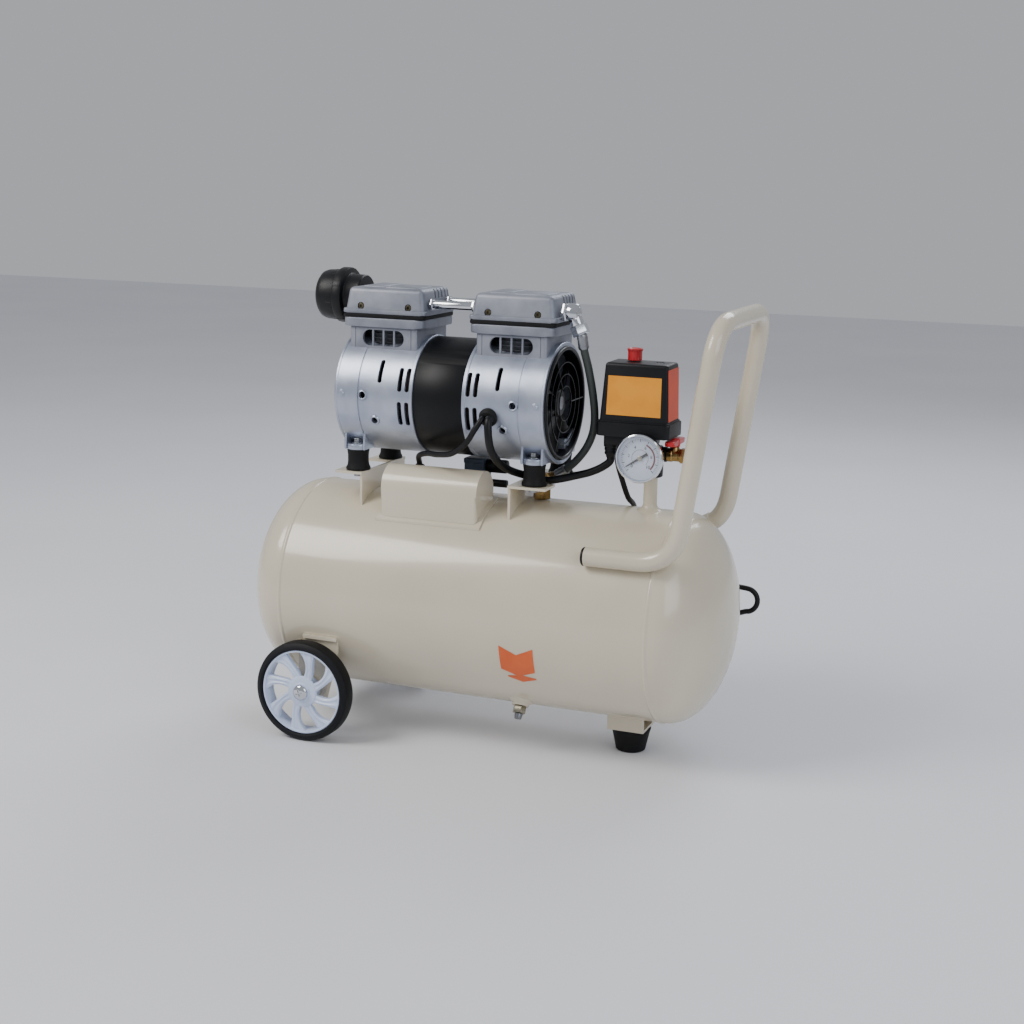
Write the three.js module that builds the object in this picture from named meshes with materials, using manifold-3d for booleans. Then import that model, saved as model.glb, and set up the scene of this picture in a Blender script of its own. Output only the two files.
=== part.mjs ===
// Portable oil-free air compressor: a horizontal steel tank on two wheels and a rubber foot,
// a twin-piston motor on four rubber mounts, a pressure switch with gauge and outlet valve,
// and a bent tube handle. Millimetres, +X along the tank from the wheels to the handle, +Z up.
import * as THREE from 'three';
import { mergeVertices } from 'three/addons/utils/BufferGeometryUtils.js';
import Module from 'manifold-3d';

const wasm = await Module();
wasm.setup();

// ---------- driving dimensions ----------
const GAP = 0.3; // between pieces that touch
const TANK = { radius: 125, seam: 233.7, dome: 67, wall: 2.5, axisZ: 170.3, bead: 1.4, beadHalf: 3.5 };
const WHEEL = {
  radius: 61.5, rimRadius: 51.8, width: 24, x: -192, midY: 131.5, hub: 17,
  bolt: 6, play: 0.4, head: 9, headLength: 4.5, headTaper: 0.6, nut: 10, nutY: 108, collar: 2,
};
const SPOKE = { count: 8, bow: 14, half: 4.2, waist: 0.8, stations: 3, depth: 10 };
const BRACKET = {
  face: 117.2, plate: 3, lipX: [-200, -155], lipY: 121, lipZ: [123.5, 128], ribs: [-208, -179],
};
const BRACKET_OUTLINE = [
  [-208, 44], [-176, 44], [-168, 70], [-155, 108], [-155, 128], [-200, 128], [-208, 90],
];
const BRACKET_RIB = [[116.2, 44], [103.2, 44], [80, 84], [100, 110], [116.2, 120]];
const FOOT = { x: 180.5, top: 24, bottom: 18, height: 29, stud: 4 };
const CHANNEL = { half: 22.5, halfY: 25, plate: 3, bottomZ: FOOT.height + GAP, topZ: 60 };
const SADDLE = { leftWeb: -150.5, rightWeb: 39, plate: 3, topZ: 321, halfWeb: 60, halfFlange: 62 };
const FLANGE = { left: -186, right: 86 };
const MOTOR = { x: -48.5, z: 413.3, radius: 71.5, wall: 4, stator: 31.5, end: 133, fan: 136 };
const MOUNT = { u: 114.5, y: 45, bottom: 15, waist: 12.8, waistZ: 9, top: 13.6, z: 346.5, stud: 4 };
const STUD_HOLE = 4.5; // the radius of every hole a stud goes through
const LUG = { radius: 14, pad: 7, height: 24, ribHeight: 22, rib: 3, tuck: 28, toe: 11, studHole: 3.4 };
const CYLINDER = {
  u: 82, halfX: 44, halfY: 44, flangeX: 53, flangeY: 47, flangeZ: [495, 505.5], flangeCorner: 12,
  bore: 32.3, boreZ: 440, sleeve: 4, sleeveZ: 462,
};
const PARTITION = {
  u: [101, 107], hub: 15, hubU: [97, 110], ports: [45, 135, 225, 315], portAt: 44, port: 14,
};
// vents as [distance from the motor's middle, degrees above the shaft's level]
const SLOT = { length: 29, width: 6, depth: 8 };
const SLOTS = [[38.9, 19.8], [48.4, 19.8], [38.9, -13.5], [48.4, -13.5], [75.2, 27]];
const VENT_HOLES = [[96, 2.5], [81.8, -22]];
const VENT_HOLE = 4.4;
const WINDOW = { count: 4, left: -26.5, pitch: 13.8, width: 11.4, depth: 5, z: [473, 491] };
const HEAD = {
  halfX: 52, halfY: 42, lip: 2.5, z: [510.5, 542], lipZ: 515.5, chamfer: 3,
  tubeZ: 523.5, tubeY: [-24, 26], tube: 5,
};
const GROOVE = { count: 5, firstY: -6, pitch: 10, width: 5, depth: 5, z: 529.5 };
const FILTER = {
  y: 22, z: 525.5, neck: 26, neckLength: 20, ring: 34, ringLength: 13, throat: 12,
  drum: 31, drumLength: 26, drumWall: 3, drumEdge: 4,
};
const SWITCH = {
  x: 177.5, halfX: 41, halfY: 25, baseZ: 383, splitZ: 399.7, topZ: 468, band: 3, wall: 4,
  castingX: [138, 196], castingY: [-19, 20], castingZ: 371, button: [168, 6],
};
const COVER_TAPER = { x: 3.5, y: 3, shift: 1.3, wall: 2.5, roof: 3 };
const BUTTON = {
  lift: 0.6, height: 14, foot: 8, rim: 9.2, stem: 4.8, stemHole: 5.5, stemLength: 18, flange: 3,
};
const MANIFOLD = { trunk: 14, gaugeArm: 8, valveArm: 9, bore: 4 };
const RISER = { x: 194, radius: 8, topZ: 335, bore: 5.5, flare: 7 };
const GAUGE = { x: RISER.x - 2, z: 362.5, radius: 28.5, backY: -30, frontY: -44, rim: 3, pin: 1.2 };
const NEEDLE = { reach: 20, tail: 7, half: 0.8, thick: 0.4, boss: 3.2, bore: 1.3, fromFront: 3.9 };
const VALVE = {
  x: 221.3, z: 362.5, bodyU: [-8.3, 8.7], body: 8, hexU: [7.7, 14.7], hex: 9.5,
  bonnet: 5.7, flow: 3.6, stemHole: 2.4, stem: 2,
  leverZ: 375, leverHalf: 24, leverWidth: 11, leverDepth: 6, boss: 6.5,
};
const HANDLE = {
  radius: 11, bore: 9.6, y: 105, stubX: 152, stubZ: 257.5,
  kneeX: 255, topZ: 525, lean: 8.3, bend: 50, corner: 40,
};
const HANDLE_PLUG = { cap: 3.5, shank: 12, play: 1.1 };
const DRAIN = {
  x: 62, angle: 60, boss: [12, 9], bossTop: 6, hex: 8, hexTop: 15, bore: 4.3, tail: 4, screwBore: 2.1,
};
const DRAIN_KNOB = { top: 22, radii: [4.8, 4.2], stem: 2 };
const COVER = {
  x: [-118, 5], y: -48, z: 306, radius: 27, lip: 6, plate: 2, lipFront: 4, lipBack: 3, lowZ: 200,
};
const CAPACITOR = { x: [-104, -17], y: -46, z: 308, radius: 15 };
const UNLOADER = { x: [-42, -16], y: [-2, 24], z: [299, 338], midY: 11, coil: 8.5, coilZ: 329, coilEnd: 0 };
const UNLOADER_FITTING = { z: 308, radius: 5, end: 10 };
const CORD = { radius: 3.3, hankX: [122, 297], hankZ: 170, hankHalf: 23, hankY: [128.5, 150], slot: 1.5 };
const PLUG = { x: [178, 218], depth: 22, height: 28, pinX: [159, 179], pin: 2.2, pinGap: 9.5 };
const SHAFT = 8;
const ROTOR = { shaftEnd: 130.5, coreHalf: 28, core: 33, statorOuter: 70.3, statorBore: 34 };
const CRANK = { offset: 6, radius: 10, half: 6 };
const PISTON = { half: 5, wall: 5, rodHalf: 7, crownZ: [494, 504.5], play: 0.4 };
const FAN = {
  blades: 7, reach: 60, root: 12, pitch: 32, u: 122.5, halfDepth: 6.5, halfThick: 1.1,
  hubU: [113, 130], hub: [18, 16],
};
const FAN_RING = { u: 118, gap: 2.5, chamfer: 2 };
const OUTLET = { y: -22, z: 522.5, stub: 6, stubLength: 8, nut: 9, nutU: [5, 18], leg: 8, legU: 12 };
const HOSE = 4.8;
const HOSE_START = [112.5, OUTLET.y, 495.5];
const HOSE_END = [76, 4, 326];
const CHECK = {
  x: 57, y: 2, portZ: 322, hex: 11, hexTop: 24, tail: 4.1, tailHole: 4.5, cap: [8.5, 7], capTop: 33, inlet: 6,
};
const NOTCH = 28; // half the opening in each saddle's flange, where the check valve stands
const GLANDS = [[147, -10], [149, 9]];
const GLAND = { radius: 7.5, z: [358, 372] };
const NEEDLE_REST = 213; // degrees from +X towards +Z, seen from the front
const GROMMET = { x: [12.5, 21.5], degrees: -10 };
const CAPACITOR_CABLE_END = [-88, -30, 331.6];
const CABLE = { capacitor: 3.4, power: 4.6 };
const HANK_ENTRY = [138, 135];
const DEG = Math.PI / 180;

// ---------- materials ----------
const finish = (hex, roughness, metalness = 0) =>
  new THREE.MeshStandardMaterial({ color: hex, roughness, metalness });
const paint = () => finish('#cfc6b2', 0.3);
const castAlloy = () => finish('#a9adb3', 0.4, 0.8);
const chrome = () => finish('#d5d8dc', 0.12, 1);
const brass = () => finish('#b08d4a', 0.3, 1);
const steel = () => finish('#8f9297', 0.35, 1);
const blackPlastic = () => finish('#17181b', 0.5);
const rubber = () => finish('#141414', 0.8);
const redPlastic = () => finish('#b3161c', 0.35);
const wheelPlastic = () => finish('#c3cde6', 0.4);
const cableSheath = () => finish('#121214', 0.55);

// ---------- solids ----------
function solid(geometry) {
  geometry.deleteAttribute('normal');
  geometry.deleteAttribute('uv');
  const merged = mergeVertices(geometry, 1e-4);
  return new wasm.Manifold(new wasm.Mesh({
    numProp: 3,
    vertProperties: new Float32Array(merged.attributes.position.array),
    triVerts: new Uint32Array(merged.index.array),
  }));
}

function geometryOf(body) {
  const mesh = body.getMesh();
  const geometry = new THREE.BufferGeometry();
  geometry.setAttribute('position', new THREE.BufferAttribute(mesh.vertProperties, 3));
  geometry.setIndex(new THREE.BufferAttribute(mesh.triVerts, 1));
  geometry.computeVertexNormals();
  return geometry;
}

const join = (first, ...others) => others.reduce((all, next) => all.add(next), first);
const cut = (first, ...others) => others.reduce((all, next) => all.subtract(next), first);

function box([x0, x1], [y0, y1], [z0, z1]) {
  const geometry = new THREE.BoxGeometry(x1 - x0, y1 - y0, z1 - z0);
  geometry.translate((x0 + x1) / 2, (y0 + y1) / 2, (z0 + z1) / 2);
  return solid(geometry);
}

// a round bar or cone between two points
function bar(from, to, radius, endRadius = radius, sides = 16) {
  const a = new THREE.Vector3(...from);
  const b = new THREE.Vector3(...to);
  const geometry = new THREE.CylinderGeometry(endRadius, radius, a.distanceTo(b), sides);
  const up = new THREE.Vector3(0, 1, 0);
  geometry.applyQuaternion(new THREE.Quaternion().setFromUnitVectors(up, b.clone().sub(a).normalize()));
  geometry.translate(...a.add(b).multiplyScalar(0.5).toArray());
  return solid(geometry);
}

const barX = ([x0, x1], y, z, radius, endRadius = radius, sides = 16) =>
  bar([x0, y, z], [x1, y, z], radius, endRadius, sides);
const barY = (x, [y0, y1], z, radius, endRadius = radius, sides = 16) =>
  bar([x, y0, z], [x, y1, z], radius, endRadius, sides);
const barZ = (x, y, [z0, z1], radius, endRadius = radius, sides = 16) =>
  bar([x, y, z0], [x, y, z1], radius, endRadius, sides);

// a profile of [along, radius] points turned about a line along X
function turnedX(profile, y, z, sides) {
  const points = profile.map(([along, radius]) => new THREE.Vector2(radius, along));
  const geometry = new THREE.LatheGeometry(points, sides);
  geometry.rotateZ(-Math.PI / 2);
  geometry.translate(0, y, z);
  return solid(geometry);
}

// a profile of [along, radius] points turned about a line along Y
function turnedY(profile, x, z, sides) {
  const points = profile.map(([along, radius]) => new THREE.Vector2(radius, along));
  const geometry = new THREE.LatheGeometry(points, sides);
  geometry.translate(x, 0, z);
  return solid(geometry);
}

// an outline of [y, z] points pushed along X
function prismX(outline, [x0, x1]) {
  const shape = new THREE.Shape(outline.map(([y, z]) => new THREE.Vector2(y, z)));
  const geometry = new THREE.ExtrudeGeometry(shape, { depth: x1 - x0, bevelEnabled: false });
  geometry.applyMatrix4(new THREE.Matrix4().set(0, 0, 1, x0, 1, 0, 0, 0, 0, 1, 0, 0, 0, 0, 0, 1));
  return solid(geometry);
}

// an outline of [x, z] points pushed along Y
function prismY(outline, [y0, y1]) {
  const shape = new THREE.Shape(outline.map(([x, z]) => new THREE.Vector2(x, -z)));
  const geometry = new THREE.ExtrudeGeometry(shape, { depth: y1 - y0, bevelEnabled: false });
  geometry.applyMatrix4(new THREE.Matrix4().set(1, 0, 0, 0, 0, 0, 1, y0, 0, -1, 0, 0, 0, 0, 0, 1));
  return solid(geometry);
}

// a shape with rounded corners pushed up from z0 to z1
function roundedBlock([x0, x1], [y0, y1], [z0, z1], corner) {
  const shape = new THREE.Shape();
  shape.moveTo(x0 + corner, y0);
  shape.lineTo(x1 - corner, y0);
  shape.absarc(x1 - corner, y0 + corner, corner, -Math.PI / 2, 0);
  shape.absarc(x1 - corner, y1 - corner, corner, 0, Math.PI / 2);
  shape.absarc(x0 + corner, y1 - corner, corner, Math.PI / 2, Math.PI);
  shape.absarc(x0 + corner, y0 + corner, corner, Math.PI, Math.PI * 1.5);
  const options = { depth: z1 - z0, bevelEnabled: false, curveSegments: 2 };
  const geometry = new THREE.ExtrudeGeometry(shape, options);
  geometry.translate(0, 0, z0);
  return solid(geometry);
}

// a tube or solid round bar along a smooth curve
function sweep(curve, radius, steps, sides, bore = 0) {
  const circle = new THREE.Shape();
  circle.absarc(0, 0, radius, 0, Math.PI * 2);
  if (bore) {
    const hole = new THREE.Path();
    hole.absarc(0, 0, bore, 0, Math.PI * 2, true);
    circle.holes.push(hole);
  }
  const options = { steps, bevelEnabled: false, extrudePath: curve, curveSegments: sides / 2 };
  return solid(new THREE.ExtrudeGeometry(circle, options));
}

const route = (points) =>
  new THREE.CatmullRomCurve3(points.map((p) => new THREE.Vector3(...p)), false, 'centripetal');

const tankSkin = (clearance) =>
  barX([-TANK.seam, TANK.seam], 0, TANK.axisZ, TANK.radius + clearance, TANK.radius + clearance, 72);

// a point at an angle round the tank's axis, from straight up towards +Y
const onTank = (x, degrees, radius) => [
  x, radius * Math.sin(degrees * DEG), TANK.axisZ + radius * Math.cos(degrees * DEG),
];

// ---------- the assembly ----------
const compressor = new THREE.Group();
compressor.name = 'air_compressor';

function piece(name, body, material) {
  const mesh = new THREE.Mesh(geometryOf(body), material);
  mesh.name = name;
  compressor.add(mesh);
}

// ---------- tank ----------
function vesselProfile(inset, bead) {
  const steps = bead ? 6 : 3;
  const profile = [];
  for (let i = 0; i <= steps; i += 1) {
    const angle = (i / steps) * 90 * DEG;
    profile.push([
      -TANK.seam - (TANK.dome - inset) * Math.cos(angle), (TANK.radius - inset) * Math.sin(angle),
    ]);
  }
  if (bead) {
    profile.push([-TANK.seam + 1, TANK.radius + TANK.bead]);
    profile.push([-TANK.seam + TANK.beadHalf, TANK.radius + TANK.bead]);
    profile.push([-TANK.seam + TANK.beadHalf + 1, TANK.radius]);
  }
  const mirrored = profile.map(([along, radius]) => [-along, radius]).reverse();
  profile[0][1] = 0;
  mirrored[mirrored.length - 1][1] = 0;
  return profile.concat(mirrored);
}

function drainPoint(distance) {
  const angle = DRAIN.angle * DEG;
  const reach = TANK.radius + distance;
  return [DRAIN.x, -reach * Math.cos(angle), TANK.axisZ - reach * Math.sin(angle)];
}

function tank() {
  const outer = turnedX(vesselProfile(0, true), 0, TANK.axisZ, 36);
  const inner = turnedX(vesselProfile(TANK.wall, false), 0, TANK.axisZ, 16);
  const topZ = TANK.axisZ + TANK.radius;
  const riser = barZ(RISER.x, 0, [topZ - 1, RISER.topZ], RISER.radius);
  const fillet = barZ(RISER.x, 0, [topZ - 2, topZ + 5], RISER.radius + RISER.flare, RISER.radius);
  const riserBore = barZ(RISER.x, 0, [topZ - 12, RISER.topZ + 1], RISER.bore, RISER.bore, 12);
  const boss = bar(drainPoint(-1.5), drainPoint(DRAIN.bossTop), ...DRAIN.boss);
  const drainBore = bar(drainPoint(-8), drainPoint(DRAIN.bossTop + 3), DRAIN.bore, DRAIN.bore, 12);
  const valveHole = barZ(CHECK.x, CHECK.y, [topZ - 9, topZ + 4], CHECK.tailHole, CHECK.tailHole, 12);
  return cut(join(cut(outer, inner), riser, fillet, cut(boss, inner)), riserBore, drainBore, valveHole);
}

function drain() {
  const { bossTop, hex, hexTop, tail, screwBore } = DRAIN;
  const body = bar(drainPoint(bossTop + GAP), drainPoint(hexTop), hex, hex, 6);
  const neck = bar(drainPoint(-4), drainPoint(bossTop + 2), tail, tail, 12);
  const bore = bar(drainPoint(-5), drainPoint(hexTop + 1), screwBore, screwBore, 12);
  piece('drain_body', cut(join(body, neck), bore), brass());
  const knob = bar(drainPoint(hexTop + GAP), drainPoint(DRAIN_KNOB.top), ...DRAIN_KNOB.radii, 12);
  const stem = bar(drainPoint(1), drainPoint(hexTop + 1), DRAIN_KNOB.stem, DRAIN_KNOB.stem, 12);
  piece('drain_screw', join(knob, stem), steel());
}

// ---------- wheels ----------
function wheelBracket(side) {
  const { face, plate, lipX, lipY, lipZ } = BRACKET;
  const span = (near, far) => [near * side, far * side].sort((a, b) => a - b);
  const web = prismY(BRACKET_OUTLINE, span(face - plate, face));
  const lip = box(lipX, span(lipY, face - plate), lipZ);
  const rib = BRACKET_RIB.map(([y, z]) => [y * side, z]);
  const ribs = BRACKET.ribs.map((x) => prismX(rib, [x, x + plate]));
  const bore = barY(WHEEL.x, span(face - plate - 15, lipY + 4), WHEEL.radius, WHEEL.bolt + WHEEL.play);
  return cut(join(web, lip, ...ribs), tankSkin(GAP), bore);
}

function tyreProfile() {
  const half = WHEEL.width / 2;
  const inner = WHEEL.rimRadius + GAP;
  return [
    [-half + 1, inner], [-half, inner + 2], [-half, WHEEL.radius - 5], [-half + 3.5, WHEEL.radius],
    [half - 3.5, WHEEL.radius], [half, WHEEL.radius - 5], [half, inner + 2], [half - 1, inner],
    [-half + 1, inner],
  ];
}

// one curved spoke from the hub to the rim's barrel, in the wheel's plane
function spoke(turn, depth) {
  const inner = WHEEL.hub - 2;
  const outer = WHEEL.rimRadius - 2;
  const edge = [];
  for (let i = 0; i <= SPOKE.stations; i += 1) {
    const share = i / SPOKE.stations;
    const radius = inner + (outer - inner) * share;
    const angle = turn + SPOKE.bow * DEG * Math.sin(share * Math.PI * 0.75);
    edge.push([radius, angle, SPOKE.half - SPOKE.waist * Math.sin(share * Math.PI)]);
  }
  const side = (sign) => edge.map(([radius, angle, half]) => {
    const a = angle + (sign * half) / radius;
    return [radius * Math.cos(a), radius * Math.sin(a)];
  });
  return prismY([...side(-1), ...side(1).reverse()], depth);
}

function rim() {
  const half = WHEEL.width / 2 - 1;
  const { rimRadius, hub } = WHEEL;
  const barrel = turnedY([
    [-half, rimRadius - 3], [-half, rimRadius], [half, rimRadius], [half, rimRadius - 3],
    [-half, rimRadius - 3],
  ], 0, 0, 28);
  const hubBody = barY(0, [-half, half], 0, hub);
  const spokes = [];
  for (let i = 0; i < SPOKE.count; i += 1) {
    spokes.push(spoke((i / SPOKE.count) * 2 * Math.PI, [-half + 1, -half + 1 + SPOKE.depth]));
  }
  const bore = barY(0, [-half - 1, half + 1], 0, WHEEL.bolt + WHEEL.play);
  return cut(join(barrel, hubBody, ...spokes), bore);
}

function wheelBolt(side) {
  const { x, midY, width, radius, bolt, head, headLength, headTaper, nut, nutY, collar } = WHEEL;
  const face = midY + width / 2 - 1 + GAP;
  const along = (from, to, thick, endThick, sides) =>
    barY(x, [side * from, side * to], radius, thick, endThick, sides);
  const shank = along(nutY, face + 1, bolt);
  const cap = along(face, face + headLength, head, head * headTaper);
  const nutBody = along(BRACKET.face - BRACKET.plate - GAP, nutY, nut, nut, 6);
  const washer = along(BRACKET.face + GAP, BRACKET.face + collar, nut);
  return join(shank, cap, nutBody, washer);
}

function wheels() {
  for (const [name, side] of [['front', -1], ['rear', 1]]) {
    const flip = side > 0 ? 180 : 0;
    const place = (body) => body.rotate([0, 0, flip]).translate([WHEEL.x, side * WHEEL.midY, WHEEL.radius]);
    piece(`tyre_${name}`, place(turnedY(tyreProfile(), 0, 0, 32)), rubber());
    piece(`rim_${name}`, place(rim()), wheelPlastic());
    piece(`wheel_bolt_${name}`, wheelBolt(side), chrome());
    piece(`wheel_bracket_${name}`, wheelBracket(side), paint());
  }
}

// ---------- foot ----------
function foot() {
  const { half, halfY, plate, bottomZ, topZ } = CHANNEL;
  const across = [FOOT.x - half, FOOT.x + half];
  const outer = box(across, [-halfY, halfY], [bottomZ, topZ]);
  const longer = [across[0] - 1, across[1] + 1];
  const inner = box(longer, [-halfY + plate, halfY - plate], [bottomZ + plate, topZ + 1]);
  const hole = barZ(FOOT.x, 0, [bottomZ - 1, bottomZ + plate + 1], STUD_HOLE, STUD_HOLE, 16);
  piece('foot_bracket', cut(outer, inner, tankSkin(GAP), hole), paint());
  const body = barZ(FOOT.x, 0, [0, FOOT.height], FOOT.bottom, FOOT.top, 24);
  const stud = barZ(FOOT.x, 0, [FOOT.height - 1, bottomZ + plate + 5], FOOT.stud, FOOT.stud, 16);
  piece('foot', join(body, stud), rubber());
}

// ---------- saddles and rubber mounts ----------
function saddle(webX, flangeTo, studX) {
  const { plate, topZ, halfWeb, halfFlange } = SADDLE;
  const inward = flangeTo < webX ? -plate : plate;
  const span = (a, b) => [Math.min(a, b), Math.max(a, b)];
  const web = box(span(webX, webX + inward), [-halfWeb, halfWeb], [TANK.axisZ + 60, topZ]);
  const flange = box(span(webX, flangeTo), [-halfFlange, halfFlange], [topZ - plate, topZ]);
  const notch = box(span(webX + inward, flangeTo + inward), [-NOTCH, NOTCH], [topZ - plate - 1, topZ + 1]);
  const holes = [-1, 1].map((side) =>
    barZ(studX, side * MOUNT.y, [topZ - 8, topZ + 1], STUD_HOLE, STUD_HOLE, 12));
  return cut(join(web, flange), notch, tankSkin(GAP), ...holes);
}

function mounts() {
  for (const [across, sign] of [['left', -1], ['right', 1]]) {
    for (const [depth, side] of [['front', -1], ['rear', 1]]) {
      const [x, y] = [MOTOR.x + sign * MOUNT.u, side * MOUNT.y];
      const [low, high] = [SADDLE.topZ + GAP, MOUNT.z - GAP];
      const middle = low + MOUNT.waistZ;
      const lower = barZ(x, y, [low, middle], MOUNT.bottom, MOUNT.waist, 20);
      const upper = barZ(x, y, [middle, high], MOUNT.waist, MOUNT.top, 20);
      const stud = barZ(x, y, [low - 9, low + 1], MOUNT.stud, MOUNT.stud, 12);
      piece(`mount_${across}_${depth}`, join(lower, upper, stud), rubber());
    }
  }
}

// ---------- crankcases with their cylinders ----------
function slot(u, degrees) {
  const { length, width, depth } = SLOT;
  const tool = box([u - width / 2, u + width / 2], [-length / 2, length / 2], [-depth, depth]);
  return tool.translate([0, 0, MOTOR.radius]).rotate([90 - degrees, 0, 0]).translate([0, 0, MOTOR.z]);
}

function ventHole(u, degrees) {
  const tool = barZ(u, 0, [MOTOR.radius - SLOT.depth, MOTOR.radius + SLOT.depth], VENT_HOLE, VENT_HOLE, 8);
  return tool.rotate([90 - degrees, 0, 0]).translate([0, 0, MOTOR.z]);
}

function vents() {
  const tools = [];
  for (const flip of [(a) => a, (a) => 180 - a]) {
    for (const [u, degrees] of SLOTS) tools.push(slot(u, flip(degrees)));
    for (const [u, degrees] of VENT_HOLES) tools.push(ventHole(u, flip(degrees)));
  }
  return tools;
}

function lug(side) {
  const { u, y, z } = MOUNT;
  const { radius, pad, height, ribHeight, rib, tuck, toe } = LUG;
  const sides = (a, b) => [side * a, side * b].sort((p, q) => p - q);
  const disc = barZ(u, side * y, [z, z + pad], radius, radius, 20);
  const back = box([u - radius, u + radius], sides(tuck, y), [z, z + height]);
  const ribs = [-radius, radius - rib].map((dx) =>
    box([u + dx, u + dx + rib], sides(y - 4, y + toe), [z, z + ribHeight]));
  return join(disc, back, ...ribs);
}

function cylinderBlock() {
  const { u, halfX, halfY, flangeX, flangeY, flangeZ, flangeCorner } = CYLINDER;
  const block = box([u - halfX, u + halfX], [-halfY, halfY], [MOTOR.z, flangeZ[0] + 1]);
  const flange = roundedBlock([u - flangeX, u + flangeX], [-flangeY, flangeY], flangeZ, flangeCorner);
  return join(block, flange);
}

function cylinderCavity() {
  const { u, halfX, halfY, flangeZ, bore, boreZ, sleeve, sleeveZ } = CYLINDER;
  const wall = MOTOR.wall;
  const cavity = box([u - halfX + wall, u + halfX - wall], [-halfY + wall, halfY - wall],
    [MOTOR.z, flangeZ[0] + 1]);
  const liner = barZ(u, 0, [sleeveZ, flangeZ[1]], bore + sleeve, bore + sleeve, 16);
  const linerBore = barZ(u, 0, [boreZ, flangeZ[1] + 1], bore, bore, 20);
  return join(cut(cavity, liner), linerBore);
}

// the window is four openings with three ribs between them, on both long sides
function windows() {
  const { u, halfY } = CYLINDER;
  const tools = [];
  for (let i = 0; i < WINDOW.count; i += 1) {
    const left = u + WINDOW.left + i * WINDOW.pitch;
    for (const y of [[-halfY - 1, -halfY + WINDOW.depth], [halfY - WINDOW.depth, halfY + 1]]) {
      tools.push(box([left, left + WINDOW.width], y, WINDOW.z));
    }
  }
  return tools;
}

// the wall between the crank space and the fan, with the shaft's hub and four air ports
function partitionHoles() {
  const { u, hubU, ports, portAt, port } = PARTITION;
  const { z } = MOTOR;
  const shaftHole = barX([hubU[0] - 1, hubU[1] + 1], 0, z, SHAFT + 0.4);
  const airPorts = ports.map((turn) => {
    const [y, rise] = [portAt * Math.sin(turn * DEG), portAt * Math.cos(turn * DEG)];
    return barX([u[0] - 2, u[1] + 1], y, z + rise, port, port, 8);
  });
  return [shaftHole, ...airPorts];
}

function crankcase() {
  const { radius, wall, stator, end, z } = MOTOR;
  const { u, hub, hubU } = PARTITION;
  const shell = barX([stator, end], 0, z, radius, radius, 32);
  const innerNear = barX([stator - 1, u[0]], 0, z, radius - wall, radius - wall, 16);
  const innerFar = barX([u[1], end + 1], 0, z, radius - wall, radius - wall, 32);
  const body = cut(join(shell, cylinderBlock(), lug(-1), lug(1)), innerNear, innerFar, cylinderCavity());
  const studs = [-1, 1].map((side) =>
    barZ(MOUNT.u, side * MOUNT.y, [MOUNT.z - 1, MOUNT.z + 9], LUG.studHole, LUG.studHole, 8));
  return cut(join(body, barX(hubU, 0, z, hub)), ...partitionHoles(), ...studs, ...windows(), ...vents());
}

// ---------- turning parts ----------
function rotor() {
  const { z } = MOTOR;
  const { shaftEnd, coreHalf, core } = ROTOR;
  const shaft = barX([-shaftEnd, shaftEnd], 0, z, SHAFT);
  const body = barX([-coreHalf, coreHalf], 0, z, core, core, 24);
  const throwZ = z + CRANK.offset;
  const cranks = [-CYLINDER.u, CYLINDER.u].map((u) =>
    barX([u - CRANK.half, u + CRANK.half], 0, throwZ, CRANK.radius));
  return join(shaft, body, ...cranks);
}

function fan() {
  const { z } = MOTOR;
  const { blades, reach, root, pitch, u, halfDepth, halfThick, hubU, hub } = FAN;
  const vanes = [];
  for (let i = 0; i < blades; i += 1) {
    const blade = box([-halfDepth, halfDepth], [-halfThick, halfThick], [root, reach]);
    const pitched = blade.rotate([0, 0, pitch]).translate([u, 0, 0]);
    vanes.push(pitched.rotate([(i * 360) / blades, 0, 0]).translate([0, 0, z]));
  }
  const bore = barX([hubU[0] - 1, hubU[1] + 2.6], 0, z, SHAFT + GAP);
  return cut(join(barX(hubU, 0, z, ...hub), ...vanes), bore);
}

function fanRing() {
  const { radius, wall, fan: face, z } = MOTOR;
  const { u, gap, chamfer } = FAN_RING;
  const outer = radius - wall - GAP;
  const inner = FAN.reach + gap;
  return turnedX([
    [u, outer], [face - chamfer, outer], [face, outer - chamfer], [face, inner], [u, inner + 2], [u, outer],
  ], 0, z, 32);
}

function piston() {
  const { u, bore } = CYLINDER;
  const { half, wall, rodHalf, crownZ, play } = PISTON;
  const ringZ = MOTOR.z + CRANK.offset;
  const ringInner = CRANK.radius + 2 * CRANK.offset + 1;
  const ring = cut(barX([u - half, u + half], 0, ringZ, ringInner + wall, ringInner + wall, 20),
    barX([u - half - 1, u + half + 1], 0, ringZ, ringInner, ringInner, 20));
  const rod = box([u - half, u + half], [-rodHalf, rodHalf], [ringZ + ringInner + 2, crownZ[0] + 1]);
  const crown = barZ(u, 0, crownZ, bore - play, bore - play, 20);
  return join(ring, rod, crown);
}

// ---------- heads ----------
function head() {
  const { u } = CYLINDER;
  const { halfX, halfY, lip, z, lipZ, chamfer } = HEAD;
  const layer = (grow, span, corner) =>
    roundedBlock([u - halfX - grow, u + halfX + grow], [-halfY - grow, halfY + grow], span, corner);
  const lower = layer(lip, [z[0], lipZ], 5);
  const upper = layer(0, [lipZ - 1, z[1] - chamfer], 7);
  const crown = layer(-chamfer, [z[1] - chamfer - 1, z[1]], 7);
  const grooves = [];
  for (let i = 0; i < GROOVE.count; i += 1) {
    const start = GROOVE.firstY + i * GROOVE.pitch;
    const across = [u + halfX - GROOVE.depth, u + halfX + 1];
    grooves.push(box(across, [start, start + GROOVE.width], [GROOVE.z, z[1] + 1]));
  }
  return cut(join(lower, upper, crown), ...grooves);
}

function valvePlate() {
  const { u, flangeX, flangeY, flangeZ } = CYLINDER;
  return roundedBlock([u - flangeX, u + flangeX], [-flangeY + 1, flangeY - 1],
    [flangeZ[1] + GAP, HEAD.z[0] - GAP], 6);
}

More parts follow.
